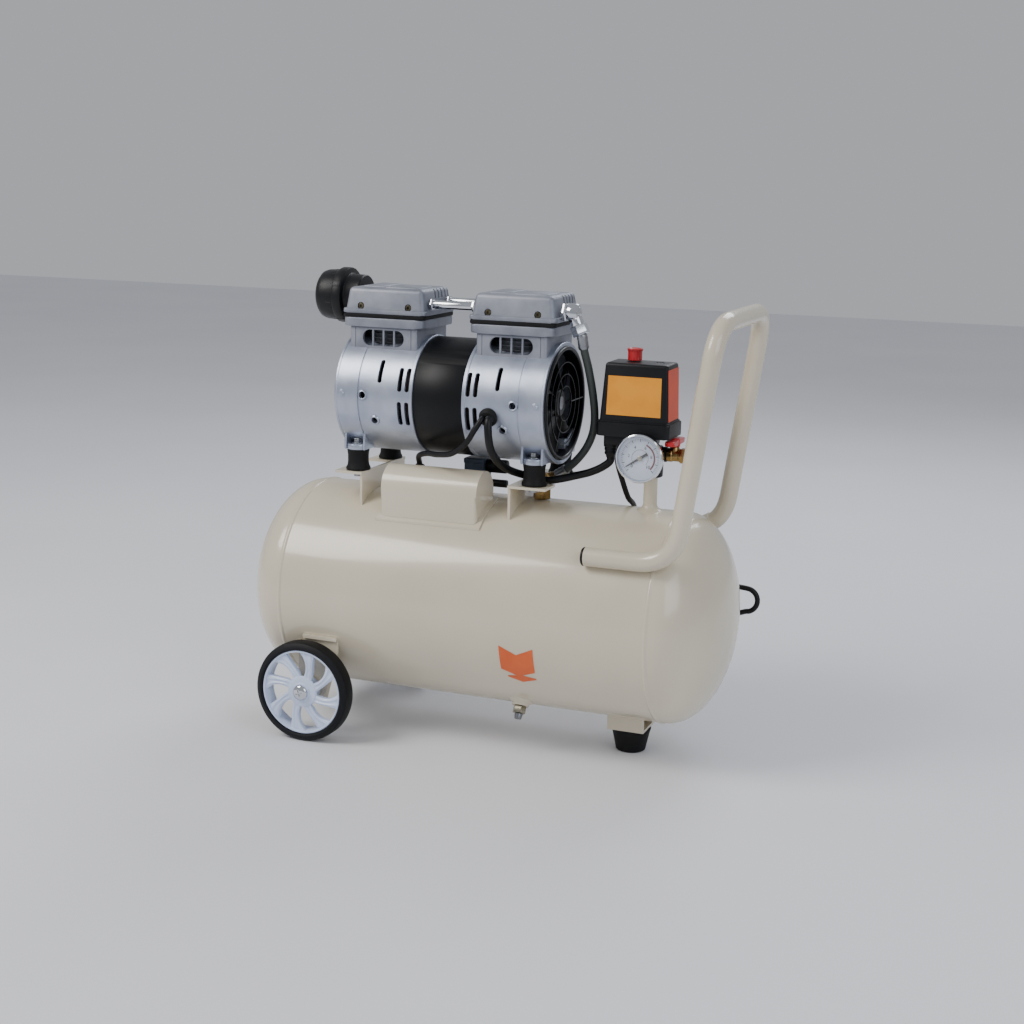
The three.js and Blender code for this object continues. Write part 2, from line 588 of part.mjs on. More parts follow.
function motorUnit() {
  const right = (body) => body.translate([MOTOR.x, 0, 0]);
  const left = (body) => body.rotate([0, 0, 180]).translate([MOTOR.x, 0, 0]);
  for (const [name, place] of [['left', left], ['right', right]]) {
    piece(`crankcase_${name}`, place(crankcase()), castAlloy());
    piece(`fan_${name}`, place(fan()), blackPlastic());
    piece(`fan_ring_${name}`, place(fanRing()), blackPlastic());
    piece(`piston_${name}`, place(piston()), castAlloy());
    piece(`valve_plate_${name}`, place(valvePlate()), rubber());
  }
  piece('head_left', right(head()).translate([-2 * CYLINDER.u, 0, 0]), castAlloy());
  piece('head_right', right(head()), castAlloy());
  piece('rotor', right(rotor()), steel());
  const { stator, z } = MOTOR;
  const { statorOuter, statorBore } = ROTOR;
  const laminations = cut(barX([-stator + GAP, stator - GAP], 0, z, statorOuter, statorOuter, 40),
    barX([-stator - 1, stator + 1], 0, z, statorBore, statorBore, 24));
  piece('stator', right(laminations), finish('#101114', 0.35));
}

// ---------- air path ----------
function transferTubes() {
  const reach = CYLINDER.u - HEAD.halfX - GAP;
  for (const [name, y] of [['front', HEAD.tubeY[0]], ['rear', HEAD.tubeY[1]]]) {
    const tube = barX([MOTOR.x - reach, MOTOR.x + reach], y, HEAD.tubeZ, HEAD.tube);
    piece(`transfer_tube_${name}`, tube, chrome());
  }
}

function airFilter() {
  const { y, z, neck, neckLength, ring, ringLength, throat, drum, drumLength, drumWall, drumEdge } = FILTER;
  const start = MOTOR.x - CYLINDER.u - HEAD.halfX - HEAD.lip - GAP;
  const face = start - neckLength - ringLength;
  const base = join(barX([start - neckLength, start], y, z, neck),
    barX([face, start - neckLength + 1], y, z, ring, ring, 28));
  piece('filter_base', cut(base, barX([face - 1, start + 1], y, z, throat)), blackPlastic());
  const mouth = face - GAP;
  const closed = mouth - drumLength;
  const cup = turnedX([
    [closed, 0], [closed, drum - drumEdge], [closed + drumEdge, drum], [mouth, drum],
    [mouth, drum - drumWall], [closed + drumEdge, drum - drumWall], [closed + drumWall, 0],
  ], y, z, 28);
  piece('filter_cap', cup, blackPlastic());
}

function outletElbow() {
  const from = MOTOR.x + CYLINDER.u + HEAD.halfX + HEAD.lip + GAP;
  const { y, z, stub, stubLength, nut, nutU, leg, legU } = OUTLET;
  const hoseFace = [HOSE_START[0] - 0.4, y, HOSE_START[2] + 1.9];
  const tail = barX([from, from + stubLength], y, z, stub);
  const block = barX([from + nutU[0], from + nutU[1]], y, z, nut, nut, 6);
  return join(tail, block, bar([from + legU, y, z - 1], hoseFace, leg, leg, 6));
}

function checkValve() {
  const { x, y, portZ, hex, hexTop, tail, cap, capTop, inlet } = CHECK;
  const topZ = TANK.axisZ + TANK.radius;
  const body = barZ(x, y, [topZ + 1, topZ + hexTop], hex, hex, 6);
  const stem = barZ(x, y, [topZ - 8, topZ + 2], tail, tail, 12);
  const top = barZ(x, y, [topZ + hexTop - 1, topZ + capTop], ...cap, 16);
  const hoseFace = [HOSE_END[0] - 1.7, HOSE_END[1] - 0.1, HOSE_END[2] - 0.9];
  return join(body, stem, top, bar([x, y, portZ - 6], hoseFace, inlet, inlet, 12));
}

function outletHose() {
  piece('outlet_elbow', outletElbow(), chrome());
  const hoseRoute = route([
    HOSE_START, [114.5, -19, 479], [118, -12, 457], [122, -4, 423], [123, 0, 398], [120.5, 1, 379.5],
    [114, 1, 363.5], [104, 2, 349.5], [92, 3, 337.5], HOSE_END,
  ]);
  piece('hose', sweep(hoseRoute, HOSE, 20, 8), finish('#3a3d40', 0.5));
  piece('check_valve', checkValve(), brass());
}

// ---------- pressure switch, gauge and outlet valve ----------
function switchBase() {
  const { x, halfX, halfY, baseZ, splitZ, band, wall, castingX, castingY, castingZ } = SWITCH;
  const outside = roundedBlock([x - halfX - band, x + halfX + band], [-halfY - band, halfY + band],
    [baseZ, splitZ], 5);
  const recess = box([x - halfX + wall, x + halfX - wall], [-halfY + wall, halfY - wall],
    [baseZ + wall, splitZ + 1]);
  const casting = box(castingX, castingY, [castingZ, baseZ + 1]);
  const glands = GLANDS.map(([gx, gy]) => barZ(gx, gy, GLAND.z, GLAND.radius, GLAND.radius, 12));
  const bore = barZ(RISER.x, 0, [castingZ - 1, baseZ + wall + 1], MANIFOLD.bore, MANIFOLD.bore, 12);
  return cut(join(cut(outside, recess), casting, ...glands), bore);
}

// the cover narrows towards its top; the inner solid is the same shape, inset and with a lower roof
function taperedCover(inset, roof) {
  const { x, halfX, halfY, splitZ, topZ } = SWITCH;
  const geometry = new THREE.BoxGeometry(1, 1, 1);
  const points = geometry.attributes.position;
  for (let i = 0; i < points.count; i += 1) {
    const top = points.getZ(i) > 0;
    const share = top ? 1 : 0;
    const reachX = halfX - share * COVER_TAPER.x - inset;
    const reachY = halfY - share * COVER_TAPER.y - inset;
    points.setX(i, x + share * COVER_TAPER.shift + Math.sign(points.getX(i)) * reachX);
    points.setY(i, Math.sign(points.getY(i)) * reachY);
    points.setZ(i, top ? topZ - roof : splitZ + GAP - (inset ? 1 : 0));
  }
  return solid(geometry);
}

function switchCover() {
  const { topZ, button } = SWITCH;
  const stemHole = barZ(...button, [topZ - 8, topZ + 1], BUTTON.stemHole, BUTTON.stemHole, 16);
  return cut(taperedCover(0, 0), taperedCover(COVER_TAPER.wall, COVER_TAPER.roof), stemHole);
}

function switchButton() {
  const [x, y] = SWITCH.button;
  const { lift, height, foot: footRadius, rim: rimRadius, stem, stemLength, flange } = BUTTON;
  const base = SWITCH.topZ + lift;
  const shank = barZ(x, y, [base - stemLength, base + 1], stem, stem, 16);
  const stop = barZ(x, y, [base - stemLength, base - stemLength + flange], footRadius, footRadius, 16);
  return join(barZ(x, y, [base, base + height], footRadius, rimRadius, 24), shank, stop);
}

function manifold() {
  const { trunk, gaugeArm, valveArm, bore } = MANIFOLD;
  const body = barZ(RISER.x, 0, [RISER.topZ + GAP, SWITCH.castingZ - GAP], trunk, trunk, 20);
  const toGauge = barY(RISER.x, [0, GAUGE.backY + GAP], GAUGE.z, gaugeArm);
  const toValve = barX([RISER.x, VALVE.x + VALVE.bodyU[0] - GAP], 0, VALVE.z, valveArm);
  const passage = barZ(RISER.x, 0, [RISER.topZ - 1, SWITCH.castingZ + 1], bore, bore, 12);
  return cut(join(body, toGauge, toValve), passage);
}

function gaugeCase() {
  const { x, z, radius, backY, frontY, rim: rimWidth, pin } = GAUGE;
  const cup = turnedY([
    [backY, 0], [backY, radius - 2.5], [backY - 3, radius - 1], [frontY + 2, radius - 1],
    [frontY + 1.5, radius], [frontY - 1, radius], [frontY - 1, radius - rimWidth],
    [frontY + 5, radius - rimWidth], [frontY + 5, 0],
  ].reverse(), x, z, 32);
  return join(cup, barY(x, [frontY + 5.5, frontY + 3.4], z, pin, pin, 10));
}

function gaugeNeedle() {
  const { reach, tail, half, thick, boss, bore, fromFront } = NEEDLE;
  const hand = box([-tail, reach], [-thick, thick], [-half, half]);
  const hub = barY(0, [-thick, thick], 0, boss);
  const turned = cut(join(hand, hub), barY(0, [-1, 1], 0, bore, bore, 10)).rotate([0, -NEEDLE_REST, 0]);
  return turned.translate([GAUGE.x, GAUGE.frontY + fromFront, GAUGE.z]);
}

function gauge() {
  const { x, z, radius, frontY, rim: rimWidth } = GAUGE;
  piece('gauge_case', gaugeCase(), chrome());
  const glass = radius - rimWidth - GAP;
  const lens = barY(x, [frontY + 0.4, frontY - 0.9], z, glass, glass, 32);
  piece('gauge_lens', lens, new THREE.MeshStandardMaterial({
    color: '#eef4f6', roughness: 0.05, transparent: true, opacity: 0.3,
  }));
  piece('gauge_needle', gaugeNeedle(), finish('#111111', 0.5));
}

function valveBody() {
  const { x, z, bodyU, body, hexU, hex, bonnet, flow, stemHole, leverZ } = VALVE;
  const barrel = barX([x + bodyU[0], x + bodyU[1]], 0, z, body, body, 14);
  const outlet = barX([x + hexU[0], x + hexU[1]], 0, z, hex, hex, 6);
  const neck = barZ(x, 0, [z + 5.1, leverZ - 2.5], bonnet, bonnet, 13);
  const passage = barX([x + bodyU[0] - 1, x + hexU[1] + 1], 0, z, flow, flow, 10);
  const stemBore = barZ(x, 0, [z + 2.6, leverZ], stemHole, stemHole, 9);
  return cut(join(barrel, outlet, neck), passage, stemBore);
}

function valveLever() {
  const { x, z, stem, leverZ, leverHalf, leverWidth, leverDepth, boss } = VALVE;
  const half = leverWidth / 2;
  const wings = roundedBlock([x - half, x + half], [-leverHalf, leverHalf], [leverZ, leverZ + leverDepth], 5);
  const hub = barZ(x, 0, [leverZ - 2.2, leverZ + leverDepth + 1.5], boss);
  return join(wings, hub, barZ(x, 0, [z + 5, leverZ], stem, stem, 10));
}

// ---------- handle ----------
function handleCurve() {
  const { y, stubX, stubZ, kneeX, topZ, lean, bend, corner } = HANDLE;
  const slope = Math.tan(lean * DEG);
  const topX = kneeX + (topZ - stubZ) * slope;
  const up = new THREE.Vector3(Math.sin(lean * DEG), 0, Math.cos(lean * DEG));
  const knee = (side) => new THREE.Vector3(kneeX, side * y, stubZ);
  const shoulder = (side) => new THREE.Vector3(topX, side * y, topZ);
  const tangent = bend * Math.tan((90 - lean) / 2 * DEG);
  const along = new THREE.Vector3(1, 0, 0);
  const across = new THREE.Vector3(0, 1, 0);
  const path = new THREE.CurvePath();
  const line = (a, b) => path.add(new THREE.LineCurve3(a, b));
  const arc = (start, middle, end) => path.add(new THREE.QuadraticBezierCurve3(start, middle, end));
  const at = (base, direction, distance) => base.clone().addScaledVector(direction, distance);
  line(new THREE.Vector3(stubX, -y, stubZ), at(knee(-1), along, -tangent));
  arc(at(knee(-1), along, -tangent), knee(-1), at(knee(-1), up, tangent));
  line(at(knee(-1), up, tangent), at(shoulder(-1), up, -corner));
  arc(at(shoulder(-1), up, -corner), shoulder(-1), at(shoulder(-1), across, corner));
  line(at(shoulder(-1), across, corner), at(shoulder(1), across, -corner));
  arc(at(shoulder(1), across, -corner), shoulder(1), at(shoulder(1), up, -corner));
  line(at(shoulder(1), up, -corner), at(knee(1), up, tangent));
  arc(at(knee(1), up, tangent), knee(1), at(knee(1), along, -tangent));
  line(at(knee(1), along, -tangent), new THREE.Vector3(stubX, y, stubZ));
  return path;
}

// straight stretches need only their ends, so the sweep's stations follow the bends
function handleStations(path) {
  const points = [];
  for (const part of path.curves) {
    const count = part instanceof THREE.LineCurve3 ? 1 : 4;
    for (let i = 0; i < count; i += 1) points.push(part.getPoint(i / count));
  }
  points.push(path.curves[path.curves.length - 1].getPoint(1));
  return points;
}

class StationCurve extends THREE.Curve {
  constructor(points) {
    super();
    this.points = points;
  }

  getPoint(share) {
    const place = share * (this.points.length - 1);
    const index = Math.min(Math.floor(place), this.points.length - 2);
    return this.points[index].clone().lerp(this.points[index + 1], place - index);
  }

  getPointAt(share) {
    return this.getPoint(share);
  }

  getTangentAt(share) {
    const step = 1 / (this.points.length - 1);
    const low = Math.max(share - step, 0);
    const high = Math.min(share + step, 1);
    const before = this.getPoint(share).sub(this.getPoint(low)).normalize();
    const after = this.getPoint(high).sub(this.getPoint(share)).normalize();
    return before.add(after).normalize();
  }
}

function handle() {
  const points = handleStations(handleCurve());
  const tube = sweep(new StationCurve(points), HANDLE.radius, points.length - 1, 10, HANDLE.bore);
  piece('handle', cut(tube, tankSkin(GAP)), paint());
  for (const [name, side] of [['front', -1], ['rear', 1]]) {
    const { stubX, stubZ, y, radius, bore } = HANDLE;
    const { cap, shank, play } = HANDLE_PLUG;
    const face = barX([stubX - cap, stubX - GAP], side * y, stubZ, radius - 1, radius, 20);
    const insert = barX([stubX - 1, stubX + shank], side * y, stubZ, bore - play, bore - play, 12);
    piece(`handle_plug_${name}`, join(face, insert), blackPlastic());
  }
}

// ---------- capacitor under its cover ----------
function coverSection(grow) {
  const { y, z, radius } = COVER;
  const points = [];
  const steps = 10;
  for (let i = 0; i <= steps; i += 1) {
    const angle = (i / steps) * 180 * DEG;
    points.push([y + (radius + grow) * Math.cos(angle), z + (radius + grow) * Math.sin(angle)]);
  }
  points.push([y - radius - grow, z - 50], [y + radius + grow, z - 50]);
  return points;
}

function capacitor() {
  const { x, y, radius, lip, plate, lipFront, lipBack, lowZ } = COVER;
  const shell = prismX(coverSection(0), x);
  const hollow = prismX(coverSection(-plate), [x[0] + plate, x[1] - plate]);
  const ends = [x[0] - lip, x[1] + lip];
  const base = box(ends, [y - radius - lipFront, y + radius + lipBack], [lowZ, SADDLE.topZ - 1]);
  const lipRadius = TANK.radius + plate + GAP;
  const lipSkin = barX(ends, 0, TANK.axisZ, lipRadius, lipRadius, 96);
  const body = join(shell, base.intersect(lipSkin));
  piece('capacitor_cover', cut(body, hollow, tankSkin(GAP)), paint());
  const can = barX(CAPACITOR.x, CAPACITOR.y, CAPACITOR.z, CAPACITOR.radius, CAPACITOR.radius, 24);
  piece('capacitor', can, finish('#d8d8d4', 0.4));
}

// ---------- cables that both ends hold ----------
function cables() {
  const { x, degrees } = GROMMET;
  const outOfHousing = (across, radius) => [
    across, -radius * Math.cos(degrees * DEG), MOTOR.z + radius * Math.sin(degrees * DEG),
  ];
  const toCapacitor = route([
    outOfHousing(x[0], MOTOR.radius + 0.5), outOfHousing(x[0], MOTOR.radius + 9), [6, -84, 388],
    [-6, -84, 371], [-24, -79, 357], [-46, -69, 352], [-68, -54, 349.5], [-84, -41, 343], CAPACITOR_CABLE_END,
  ]);
  piece('cable_capacitor', sweep(toCapacitor, CABLE.capacitor, 18, 8), cableSheath());
  const [glandX, glandY] = GLANDS[0];
  const toSwitch = route([
    outOfHousing(x[1], MOTOR.radius + 0.5), outOfHousing(x[1], MOTOR.radius + 10), [23, -84, 384],
    [25, -81, 366], [29, -72, 352], [34, -56, 341], [40, -38, 333], [53, -24, 327], [71, -22, 323.5],
    [88, -18, 326], [105, -14, 330.5], [123, -12, 336], [138, -11, 343.5], [glandX, glandY, 351.5],
    [glandX, glandY, 357.3],
  ]);
  piece('cable_switch', sweep(toSwitch, CABLE.power, 28, 8), cableSheath());
}

function unloader() {
  const { x, y, z, midY, coil, coilZ, coilEnd } = UNLOADER;
  const { z: fittingZ, radius, end } = UNLOADER_FITTING;
  const start = x[1] - 1;
  const coilBody = barX([start, coilEnd], midY, coilZ, coil, coil, 12);
  const fitting = barX([start, end], midY, fittingZ, radius, radius, 12);
  piece('unloader_valve', join(box(x, y, z), coilBody, fitting), finish('#4c5a6b', 0.45));
}

// ---------- mains cord ----------
const CORD_ROUTE = [
  [...GLANDS[1], 357.6], [150, 10, 345], [154.5, 13, 327], onTank(159.5, 10, 135), onTank(159.5, 19, 130),
  onTank(154, 31, 130), onTank(142, 43, 130), onTank(137, 57, 130.5), onTank(137, 70, 132),
  [HANK_ENTRY[0], 133.5, 201], [...HANK_ENTRY, 190], [...HANK_ENTRY, 178],
];

function mainsCord() {
  piece('power_cord', sweep(route(CORD_ROUTE), CORD.radius, 30, 8), cableSheath());
  const { hankX, hankZ, hankHalf, hankY } = CORD;
  const outline = [];
  const steps = 8;
  for (const [centre, from] of [[hankX[1] - hankHalf, -90], [hankX[0] + hankHalf, 90]]) {
    for (let i = 0; i <= steps; i += 1) {
      const angle = (from + (i / steps) * 180) * DEG;
      outline.push([centre + hankHalf * Math.cos(angle), hankZ + hankHalf * Math.sin(angle)]);
    }
  }
  const hank = prismY(outline, hankY);
  const entry = barZ(...HANK_ENTRY, [175, 200], CORD.radius + CORD.slot);
  piece('cord_hank', cut(hank, entry), cableSheath());
}

function mainsPlug() {
  const { hankZ, hankHalf, hankY } = CORD;
  const { x, depth, height, pinX, pin, pinGap } = PLUG;
  const topZ = hankZ - hankHalf - GAP;
  const body = box(x, [hankY[0], hankY[0] + depth], [topZ - height, topZ]);
  const pins = [-1, 1].map((side) =>
    barX(pinX, hankY[0] + depth / 2, topZ - height / 2 + side * pinGap, pin, pin, 8));
  piece('power_plug', join(body, ...pins), blackPlastic());
}

// ---------- build ----------
piece('tank', tank(), paint());
drain();
wheels();
foot();
piece('saddle_left', saddle(SADDLE.leftWeb, FLANGE.left, MOTOR.x - MOUNT.u), paint());
piece('saddle_right', saddle(SADDLE.rightWeb, FLANGE.right, MOTOR.x + MOUNT.u), paint());
mounts();
motorUnit();
transferTubes();
airFilter();
outletHose();
piece('switch_base', switchBase(), blackPlastic());
piece('switch_cover', switchCover(), blackPlastic());
piece('switch_button', switchButton(), redPlastic());
piece('manifold', manifold(), blackPlastic());
gauge();
piece('valve_body', valveBody(), brass());
piece('valve_lever', valveLever(), redPlastic());
handle();
capacitor();
cables();
unloader();
mainsCord();
mainsPlug();

// the frame's origin is on the floor under the middle of the machine, measured without the cord
function middleX() {
  const bounds = new THREE.Box3();
  for (const mesh of compressor.children) {
    if (!/^(power_|cord_)/.test(mesh.name)) bounds.expandByObject(mesh, true);
  }
  return (bounds.min.x + bounds.max.x) / 2;
}
compressor.position.x = -middleX();

export default compressor;
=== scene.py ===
"""Looks of a portable oil-free air compressor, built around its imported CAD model. Metres, +Z up."""
import math

import bmesh
import bpy
from mathutils import Matrix, Vector
from mathutils.noise import noise


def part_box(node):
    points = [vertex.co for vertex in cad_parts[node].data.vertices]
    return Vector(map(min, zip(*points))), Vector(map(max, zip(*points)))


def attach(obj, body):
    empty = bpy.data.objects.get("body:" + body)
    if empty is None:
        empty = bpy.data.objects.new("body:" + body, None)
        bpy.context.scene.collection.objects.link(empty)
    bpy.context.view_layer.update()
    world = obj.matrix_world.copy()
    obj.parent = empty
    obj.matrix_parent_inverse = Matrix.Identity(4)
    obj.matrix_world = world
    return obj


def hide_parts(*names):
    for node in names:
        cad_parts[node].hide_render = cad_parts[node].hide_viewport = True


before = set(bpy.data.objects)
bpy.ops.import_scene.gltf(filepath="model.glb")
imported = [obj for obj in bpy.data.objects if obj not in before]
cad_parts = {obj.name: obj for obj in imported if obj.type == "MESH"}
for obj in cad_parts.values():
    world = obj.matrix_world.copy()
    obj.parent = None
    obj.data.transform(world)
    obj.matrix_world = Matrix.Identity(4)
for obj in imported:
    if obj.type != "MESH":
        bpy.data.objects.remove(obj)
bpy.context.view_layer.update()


def middle(node):
    low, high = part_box(node)
    return (low + high) / 2


# ---------- axes and turns ----------
TAU = math.tau
SHARP = math.radians(32)
X, Y, Z = Vector((1, 0, 0)), Vector((0, 1, 0)), Vector((0, 0, 1))
SIDEWAYS = Matrix((Y, Z, X)).transposed().to_4x4()
UPRIGHT = Matrix((X, Z, -Y)).transposed().to_4x4()

# ---------- tank, riser and drain ----------
TANK_LOW, TANK_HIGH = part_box("tank")
TANK_X = (TANK_LOW.x + TANK_HIGH.x) / 2
TANK_Z = 0.1703
TANK_RADIUS = 0.125
TANK_TOP = TANK_Z + TANK_RADIUS
TANK_SEAM = 0.2337
TANK_DOME = 0.067
WELD_DEPTH = 0.0012
RISER_X = TANK_X + 0.194
DRAIN_ANGLE = -60
LABEL_START, LABEL_WIDTH = TANK_X + 0.0555, 0.0420
LABEL_THICK = 0.0004

# ---------- wheels ----------
WHEEL_RADIUS = 0.0615
RIM_RADIUS = 0.0518
HALF_TYRE = 0.012
HUB_RADIUS = 0.0150
HUB_BORE = 0.0062
SPOKES = 8
SPOKE_FACE = 0.0066
SPOKE_STATIONS = 12
SPOKE_PHASE = math.radians(21)
SPOKE_SECTION = ((-1.0, 0.0), (-0.82, 0.55), (-0.45, 1.0), (-0.2, 0.35), (0.2, 0.35), (0.45, 1.0),
                 (0.82, 0.55), (1.0, 0.0), (1.0, -3.6), (-1.0, -3.6))

# ---------- motor: distances along the shaft from its middle, and angles up from its level ----------
MOTOR = middle("stator")
HOUSING = 0.0715
HOUSING_WALL = 0.0040
INNER_HOUSING = HOUSING - HOUSING_WALL
SHAFT_RADIUS, SHAFT_HOLE, SHAFT_END = 0.008, 0.0084, 0.1302
STATOR_HALF = 0.0315
HOUSING_END = 0.133
PARTING = 0.102
SPIDER = (0.101, 0.105)
SPIDER_BOSS = 0.109
SPIDER_PORT, PORT_REACH = 0.014, 0.044
END_SCREW_AT, END_SCREW_ANGLE = 0.1235, 3
ECCENTRIC = 0.006
SLOTS = ((0.0389, 19.8), (0.0484, 19.8), (0.0389, -13.5), (0.0484, -13.5), (0.0752, 27.0))
HOLES = ((0.096, 2.5), (0.0818, -22.0))
SLOT_SIZE = (0.029, 0.0056)
HOLE_SIZE = (0.0082, 0.0080)
FLIPS = (lambda degrees: degrees, lambda degrees: 180 - degrees)
CYLINDER_U = 0.082
BLOCK_HALF = Vector((0.044, 0.044, 0))
BLOCK_WALL = 0.004
FLANGE_HALF = Vector((0.053, 0.047, 0))
PLATE_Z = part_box("valve_plate_left")[0].z
SEAT = PLATE_Z - 0.0108
LINER_INNER, LINER_OUTER, FIN_RADIUS = 0.0323, 0.0363, 0.0392
BLADES = 7
BLADE_ROOT, BLADE_TIP, BLADE_PLANE = 0.0155, 0.0585, 0.1225
GUARD_RINGS = (0.0200, 0.0340, 0.0480)
GUARD_ARMS = 3
HEAD_SCREW_X = 0.031
HEAD_SCREW_Z = 0.0085

# ---------- air path, switch, gauge and handle ----------
OUTLET_Y, OUTLET_Z = -0.022, 0.5225
COIL_Z, FITTING_Z = 0.329, 0.308
PORT_Z = 0.3625
GLANDS = ((0.1449, -0.010), (0.1469, 0.009))
HOOD_SCREW = Vector((0.022, 0.004))
HOOD_LEAN = Vector((0.0035, 0.0030))
HOOD_SHIFT = 0.0013
GAUGE_START, GAUGE_STOP = math.radians(225), math.radians(-45)
RED_START = math.radians(66)
TICKS = 50
NEEDLE_REST = math.radians(213)
HANDLE_RADIUS = 0.0108
HANDLE_Y = 0.105
HANDLE_LEAN = math.radians(8.3)
HANDLE_STUB = TANK_X + 0.152
HANDLE_KNEE = TANK_X + 0.255
HANDLE_LOW, HANDLE_TOP = 0.2575, 0.525
KNEE_BEND, SHOULDER_BEND = 0.050, 0.046

# ---------- cords: routes listed point by point, then the turns of the hank ---
HOSE_RADIUS, CORD_RADIUS = 0.0047, 0.0033
CAPACITOR_CABLE_RADIUS, SWITCH_CABLE_RADIUS = 0.0034, 0.0046
GROMMET_AT, GROMMET_ANGLE = 0.0149, -10
HOSE_POINTS = [
    (0.1104, -0.022, 0.4955), (0.1124, -0.019, 0.479), (0.1159, -0.012, 0.457), (0.1199, -0.004, 0.423),
    (0.1209, 0.0, 0.398), (0.1184, 0.001, 0.3795), (0.1119, 0.001, 0.3635), (0.1019, 0.002, 0.3495),
    (0.0899, 0.003, 0.3375), (0.0739, 0.004, 0.326),
]
CAPACITOR_CABLE = [
    (0.0104, -0.07091, 0.4008), (0.0104, -0.07928, 0.3993), (0.0039, -0.084, 0.388), (-0.0061, -0.084, 0.372),
    (-0.0261, -0.079, 0.357), (-0.0481, -0.069, 0.352), (-0.0701, -0.054, 0.3495), (-0.0861, -0.041, 0.343),
    (-0.0901, -0.030, 0.3316),
]
SWITCH_CABLE = [
    (0.0194, -0.07091, 0.4008), (0.0194, -0.08026, 0.3992), (0.0209, -0.084, 0.384), (0.0229, -0.081, 0.366),
    (0.0269, -0.072, 0.352), (0.0319, -0.056, 0.341), (0.0379, -0.038, 0.333), (0.0509, -0.024, 0.327),
    (0.0689, -0.022, 0.3235), (0.0859, -0.018, 0.326), (0.1029, -0.014, 0.3305), (0.1209, -0.012, 0.336),
    (0.1359, -0.011, 0.3435), (0.1449, -0.010, 0.3515), (0.1449, -0.010, 0.3573),
]
HANK_LOW, HANK_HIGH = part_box("cord_hank")
HANK_Z = (HANK_LOW.z + HANK_HIGH.z) / 2
PLUG_LOW, PLUG_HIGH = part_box("power_plug")
PLUG_MIDDLE = (PLUG_LOW + PLUG_HIGH) / 2
CORD_POINTS = [
    (0.1469, 0.009, 0.3576), (0.1479, 0.010, 0.345), (0.1524, 0.013, 0.327), (0.1574, 0.0234, 0.3032),
    (0.1574, 0.0423, 0.2932), (0.1519, 0.0670, 0.2817), (0.1399, 0.0887, 0.2654), (0.1349, 0.1094, 0.2414),
    (0.1345, 0.1228, 0.2165), (0.1385, 0.1300, 0.2010), (0.1455, 0.1316, 0.1900),
]
TURN_ENDS = (HANK_LOW.x + 0.0232, HANK_HIGH.x - 0.0580)
TURN_RADII = (0.0150, 0.0199, 0.0150)
TURN_TUCKS = (0.0, 0.0, 0.0055)
TURN_DEPTHS = (0.1318, 0.1364, 0.1410)
LAST_RISE = 0.0065
LAST_BEND = 0.0150
LAST_DEPTH = 0.1456
RELIEF = 0.026
STRAP_AT = 0.2365
STRAP_TOP = 0.2634
STRAP_WIDTH = 0.009
BAND_STARTS = (HANK_LOW.x + 0.062, HANK_LOW.x + 0.100)
BAND_WIDTH = 0.006
PIN_SPREAD, PIN_LENGTH = 0.0095, 0.021

# ---------- camera, made first; the cord's points were measured against its view ---
LENS = 59.0
CAMERA_PLACE = Vector((0.74504, -1.84557, 0.69372))
CAMERA_RIGHT = Vector((0.929047, 0.369529, 0.017918))
CAMERA_UP = Vector((-0.092385, 0.184828, 0.978419))


def make_camera():
    data = bpy.data.cameras.new("camera")
    data.lens = LENS
    data.sensor_width = 36.0
    camera = bpy.data.objects.new("camera", data)
    bpy.context.collection.objects.link(camera)
    turn = Matrix((CAMERA_RIGHT, CAMERA_UP, CAMERA_RIGHT.cross(CAMERA_UP))).transposed()
    camera.matrix_world = Matrix.Translation(CAMERA_PLACE) @ turn.to_4x4()
    bpy.context.scene.camera = camera


make_camera()


# ---------- solids: each function returns a bmesh ----------
def aim(point, direction):
    """A frame whose own Z runs along direction from point."""
    return Matrix.Translation(Vector(point)) @ Vector(direction).to_track_quat("Z", "Y").to_matrix().to_4x4()


def radial(degrees):
    """Away from a lengthwise axis: 0 points to the front, 90 up, 180 to the rear."""
    angle = math.radians(degrees)
    return Vector((0, -math.cos(angle), math.sin(angle)))


def turned(profile, place, segments=96):
    """A profile of (along, radius) pairs turned round the place's own Z. A closed profile makes a ring."""
    shape = bmesh.new()
    closed = profile[0] == profile[-1]
    rows = []
    for along, radius in profile[:-1] if closed else profile:
        count = segments if radius > 1e-7 else 1
        angles = [TAU * i / segments for i in range(count)]
        spots = [place @ Vector((radius * math.cos(a), radius * math.sin(a), along)) for a in angles]
        rows.append([shape.verts.new(p) for p in spots])
    pairs = list(zip(rows, rows[1:] + rows[:1])) if closed else list(zip(rows, rows[1:]))
    for lower, upper in pairs:
        for i in range(segments):
            corners = [lower[i % len(lower)], lower[(i + 1) % len(lower)],
                       upper[(i + 1) % len(upper)], upper[i % len(upper)]]
            unique = list(dict.fromkeys(corners))
            if len(unique) > 2:
                shape.faces.new(unique)
    bmesh.ops.recalc_face_normals(shape, faces=shape.faces)
    return shape


def rod(start, end, radius, end_radius=None, soft=0.0006, segments=48):
    """A round bar with softened rims."""
    start, end = Vector(start), Vector(end)
    length = (end - start).length
    far = radius if end_radius is None else end_radius
    profile = [(0, 0), (0, radius - soft), (soft * 0.3, radius - soft * 0.3), (soft, radius),
               (length - soft, far), (length - soft * 0.3, far - soft * 0.3), (length, far - soft),
               (length, 0)]
    return turned(profile, aim(start, end - start), segments)


def block(low, high, soft=0.0015, steps=3):
    """A box with every edge rounded."""
    shape = bmesh.new()
    low, high = Vector(low), Vector(high)
    bmesh.ops.create_cube(shape, size=1.0)
    for v in shape.verts:
        v.co = Vector((a + (b - a) * (c + 0.5) for a, b, c in zip(low, high, v.co)))
    bmesh.ops.bevel(shape, geom=shape.edges[:], offset=soft, segments=steps, profile=0.5, affect="EDGES")
    return shape


